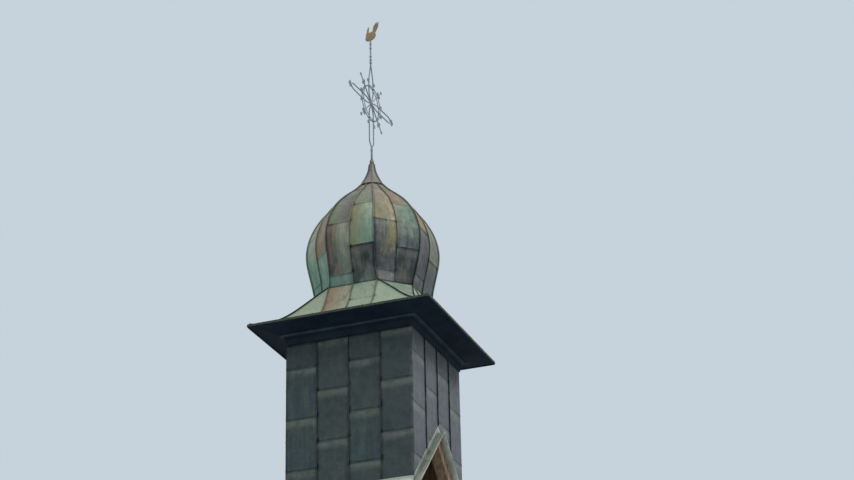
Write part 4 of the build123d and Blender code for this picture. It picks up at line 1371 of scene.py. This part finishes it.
batch = Batch()
for angle, reach in [(0, ARM_TIP), (180, ARM_TIP)] + [(angle, RAY) for angle in DIAGONALS]:
    leaf = LEAF * (1.9 if reach == ARM_TIP else 1.0)
    for along, aside in ((1.1, 0), (0, 1.2), (0, -1.2)):
        dome(batch, spun((reach + along * leaf, aside * leaf), angle), leaf, 0.0105)
dome(batch, (0, 0), 0.05, 0.026, 28, 13)
batch.build("cross_leaves", IRON, replaces=["cross_frame"])

batch = Batch()
circle = RING * np.stack(ring_points(73), axis=-1)
for face in (-1, 1):
    tube(batch, on_cross(circle, face * RING_FROM_MIDDLE), PLANE_OUT, rounded(0.0115, 0.006, 10), loop=True)
    for angle, _, wide, _ in ARMS:
        for way in (-1, 1):
            rivet(batch, spun((np.sqrt(RING ** 2 - wide ** 2), way * wide), angle), face)
piece = batch.build("cross_ring_bars", IRON, replaces=["cross_rings"])
print("rings and rivets", len(piece.data.polygons), "faces")

# %% [markdown]
# ## The spindle
# A square bar is twisted while it is hot, and collars are swollen into it. An array
# of little boxes would look stepped. A lathe does it in one grid: the radius gets a
# wave with four crests a turn, for the edges, that climbs with the height, and a
# bell curve at each collar. The bar ends in a smooth pin.

# %% Spindle
SPINDLE, SWELLING = 0.52, 0.019
PIN_FOOT = CROSS_HEAD + SPINDLE
share = np.linspace(0, 1, 120)
spindle_z = CROSS_HEAD + share * (PIN_FOOT - CROSS_HEAD)
collars = np.array([0.08, 0.2, 0.34, 0.7, 0.88])
swollen = np.exp(-((share[:, None] - collars) * SPINDLE / SWELLING) ** 2).max(axis=1)
spindle_r = 0.0135 + 0.0095 * swollen
bar_top = PIN_FOOT - 0.0002
bar = np.concatenate([[(0, CROSS_HEAD)], np.stack([spindle_r, spindle_z], axis=-1),
                      [(0.009, bar_top), (0, bar_top)]])
pin = np.array([(0, -0.01), (0.008, -0.01), (0.008, 0.146), (0.0055, 0.15), (0, 0.15)]) + (0, PIN_FOOT)
batch = Batch()
lathe(batch, bar, 24, twist=(0.0014, 0.32))
lathe(batch, pin, 20)
piece = batch.build("twisted_spindle", IRON, replaces=["spindle"])
print("spindle", len(piece.data.polygons), "faces")

# %% [markdown]
# ## The weathercock
# The cock is beaten copper that was gilt once, and turns on the pin in a sleeve. Its
# outline could be cut from flat sheet, but then it would vanish when it is seen from
# the end. So every part of it is a blade: a centre line with a lens-shaped outline
# that swells and narrows along it. Body, neck, head, comb, tail and wings are all
# blades, in shares of the figure's length and height.

# %% Weathercock
COCK_LONG, COCK_HIGH, HEADING = 0.36, 0.41, -22


def smooth_line(points, count):
    """Curve through points: Catmull-Rom, each piece a cubic with slopes from its neighbours."""
    points = np.asarray(points, float)
    ends = np.concatenate([[2 * points[0] - points[1]], points, [2 * points[-1] - points[-2]]])
    place = np.linspace(0, len(points) - 1, count)
    i = np.minimum(place.astype(int), len(points) - 2)
    t = (place - i)[:, None]
    a, b, c, d = (ends[i + k] for k in range(4))
    square, cube = 2 * a - 5 * b + 4 * c - d, 3 * b - a - 3 * c + d
    return 0.5 * (2 * b + (c - a) * t + square * t ** 2 + cube * t ** 3)


def blade(batch, line, widths, thickness, aside=0.0, count=26):
    """Lens carried along a centre line of shares of the cock's length and height."""
    flat = smooth_line(line, count) * (COCK_LONG, COCK_HIGH)
    wide = smooth_line(np.stack([widths, widths], axis=-1), count)[:, 0].clip(0.0008)
    path = np.stack([flat[:, 0], np.full(count, aside), flat[:, 1] + COCK_FOOT], axis=-1)
    scale = np.stack([wide, thickness * np.sqrt(wide / wide.max())], axis=-1)
    tube(batch, path, (0, -1, 0), rounded(1.0, 1.0, 14, 0.9), scale=scale, angle=HEADING)


BODY = [(-0.335, 0.335), (-0.24, 0.285), (-0.05, 0.265), (0.14, 0.262), (0.29, 0.28), (0.385, 0.31)]
NECK = [(-0.14, 0.26), (-0.2, 0.42), (-0.19, 0.57), (-0.15, 0.72)]
HEAD = [(-0.15, 0.64), (-0.15, 0.75)]
BEAK = [(-0.18, 0.7), (-0.31, 0.69)]
WATTLE = [(-0.2, 0.66), (-0.225, 0.59)]
COMB = [((-0.17, 0.73), (-0.2, 0.845)), ((-0.15, 0.73), (-0.15, 0.85)), ((-0.125, 0.73), (-0.1, 0.82))]
TAIL = [((0.2, 0.38), (0.25, 0.66), (0.42, 0.87)), ((0.23, 0.37), (0.33, 0.68), (0.51, 0.885)),
        ((0.25, 0.35), (0.4, 0.66), (0.59, 0.865)), ((0.27, 0.33), (0.45, 0.6), (0.66, 0.83)),
        ((0.26, 0.3), (0.44, 0.5), (0.61, 0.7))]
WING_TIPS = ((0.22, 0.4), (0.24, 0.33), (0.2, 0.26))
batch = Batch()
blade(batch, BODY, [0.012, 0.076, 0.096, 0.098, 0.084, 0.028], 0.0135)
blade(batch, NECK, [0.06, 0.052, 0.03, 0.014], 0.0125)
blade(batch, HEAD, [0.018, 0.016], 0.011)
blade(batch, BEAK, [0.011, 0.001], 0.005)
blade(batch, WATTLE, [0.006, 0.008], 0.004)
for point in COMB:
    blade(batch, point, [0.009, 0.002], 0.003, count=8)
for number, feather in enumerate(TAIL):
    blade(batch, feather, [0.016, 0.021, 0.004], 0.003, aside=0.002 * (-1) ** number)
for face in (-1, 1):
    for number, tip in enumerate(WING_TIPS):
        feather = [(-0.16, 0.33 - 0.03 * number), (0.04, 0.37 - 0.06 * number), tip]
        blade(batch, feather, [0.012, 0.024, 0.003], 0.0035, aside=face * 0.0112)
piece = batch.build("cock_figure", GILDING, body="weathercock", replaces=["weathercock"])
print("cock", len(piece.data.polygons), "faces")

# %% [markdown]
# ## The sleeve
# Under the figure hangs a little tube that is closed on top and fits over the pin,
# so the cock turns and the rain stays out. A solid stub through the figure would
# look the same, but it would run through the pin. A profile that goes down the bore
# and up the outside gives a real hole, 0.06 mm wider than the pin on each side.

# %% Sleeve of the weathercock
BORE, BORE_DEPTH = 0.00806, 0.155
sleeve_z = np.array([0, 0.004, 0.012, 0.016, 0.02, 0.155, 0.165, 0.17])
sleeve_r = np.array([0.0125, 0.015, 0.015, 0.0135, 0.0125, 0.0125, 0.009, 0.0])
sleeve = np.concatenate([[(0, BORE_DEPTH), (BORE, BORE_DEPTH), (BORE, 0)],
                         np.stack([sleeve_r, sleeve_z], axis=-1)])
batch = Batch()
lathe(batch, sleeve + (0, COCK_FOOT), 24)
batch.build("cock_sleeve", GILDING, body="weathercock", replaces=["weathercock"])
print("sleeve turns on the pin with", round(1000 * (BORE - 0.008), 2), "mm to spare")

# %% [markdown]
# ## The floor
# The turret stands on a plain plaster floor, which is only a stage. The camera of
# the photograph stands below the level foot and would see nothing but the floor's
# underside. It could be left out, but other views need it. So its back is clear: a
# face that is seen from behind lets the light through.

# %% Floor
FLOOR_HALF = 300.0
FLOOR_GAP = 0.003
corners = [(x * FLOOR_HALF, y * FLOOR_HALF, -FLOOR_GAP) for x, y in ((-1, -1), (1, -1), (1, 1), (-1, 1))]
floor_mesh = bpy.data.meshes.new("floor")
floor_mesh.from_pydata(corners, [], [(0, 1, 2, 3)])
floor = bpy.data.objects.new("floor", floor_mesh)
bpy.context.scene.collection.objects.link(floor)
# floated plaster: matt, pale and almost even, with clouds of 600 mm
floor_material, tree, place = start_material("pale plaster floor")
tone = laid(tree, linear("#C8CDCF"), linear("#C6CBCE"), patches(tree, place, 0.6, 0.4, 0.6))
plaster = add(tree, "BsdfPrincipled", {"Base Color": tone, "Roughness": 0.9})
backfacing = add(tree, "NewGeometry", out=6)
clear = add(tree, "BsdfTransparent")
add(tree, "OutputMaterial", {0: add(tree, "MixShader", {0: backfacing, 1: plaster, 2: clear})})
floor_mesh.materials.append(floor_material)
print("floor", 2 * FLOOR_HALF, "m across")

# %% [markdown]
# ## Sky and light
# The photograph has an overcast day. A few area lamps could imitate it, but the sky
# itself does it better: pale all over and brighter above than below, which leaves
# the soffit dark. One broad, soft lamp from the right brings out the corners. What
# the camera and the gloss see is a plain blue-grey, whatever the light does.

# %% Sky and lamp
world = bpy.data.worlds.new("sky")
bpy.context.scene.world = world
world.use_nodes = True
tree = world.node_tree
tree.nodes.clear()
height = add(tree, "SeparateXYZ", {0: add(tree, "TexCoord", out=0)}, out=2)
strength = add(tree, "MapRange", {0: height, 1: -0.3, 2: 0.8, 3: 0.28, 4: 1.0},
               interpolation_type="SMOOTHSTEP")
light = add(tree, "Background", {0: linear("#F2F5F8"), 1: strength})
shown = add(tree, "Background", {0: linear("#C6D2DC"), 1: 1.0})
camera_ray, glossy_ray = add(tree, "LightPath", out=0), add(tree, "LightPath", out=6)
direct = add(tree, "Math", {0: camera_ray, 1: glossy_ray}, operation="MAXIMUM")
add(tree, "OutputWorld", {0: add(tree, "MixShader", {0: direct, 1: light, 2: shown})})
lamp_data = bpy.data.lights.new("overcast sun", "SUN")
lamp_data.energy = 1.7
lamp_data.angle = radians(50)                   # very wide, so that shadows are soft
lamp_data.color = (1.0, 0.98, 0.95)
lamp = bpy.data.objects.new("overcast sun", lamp_data)
lamp.rotation_euler = (radians(48), 0, radians(68))
bpy.context.scene.collection.objects.link(lamp)
bpy.context.scene.view_settings.view_transform = "Standard"
print("lamp and sky ready")
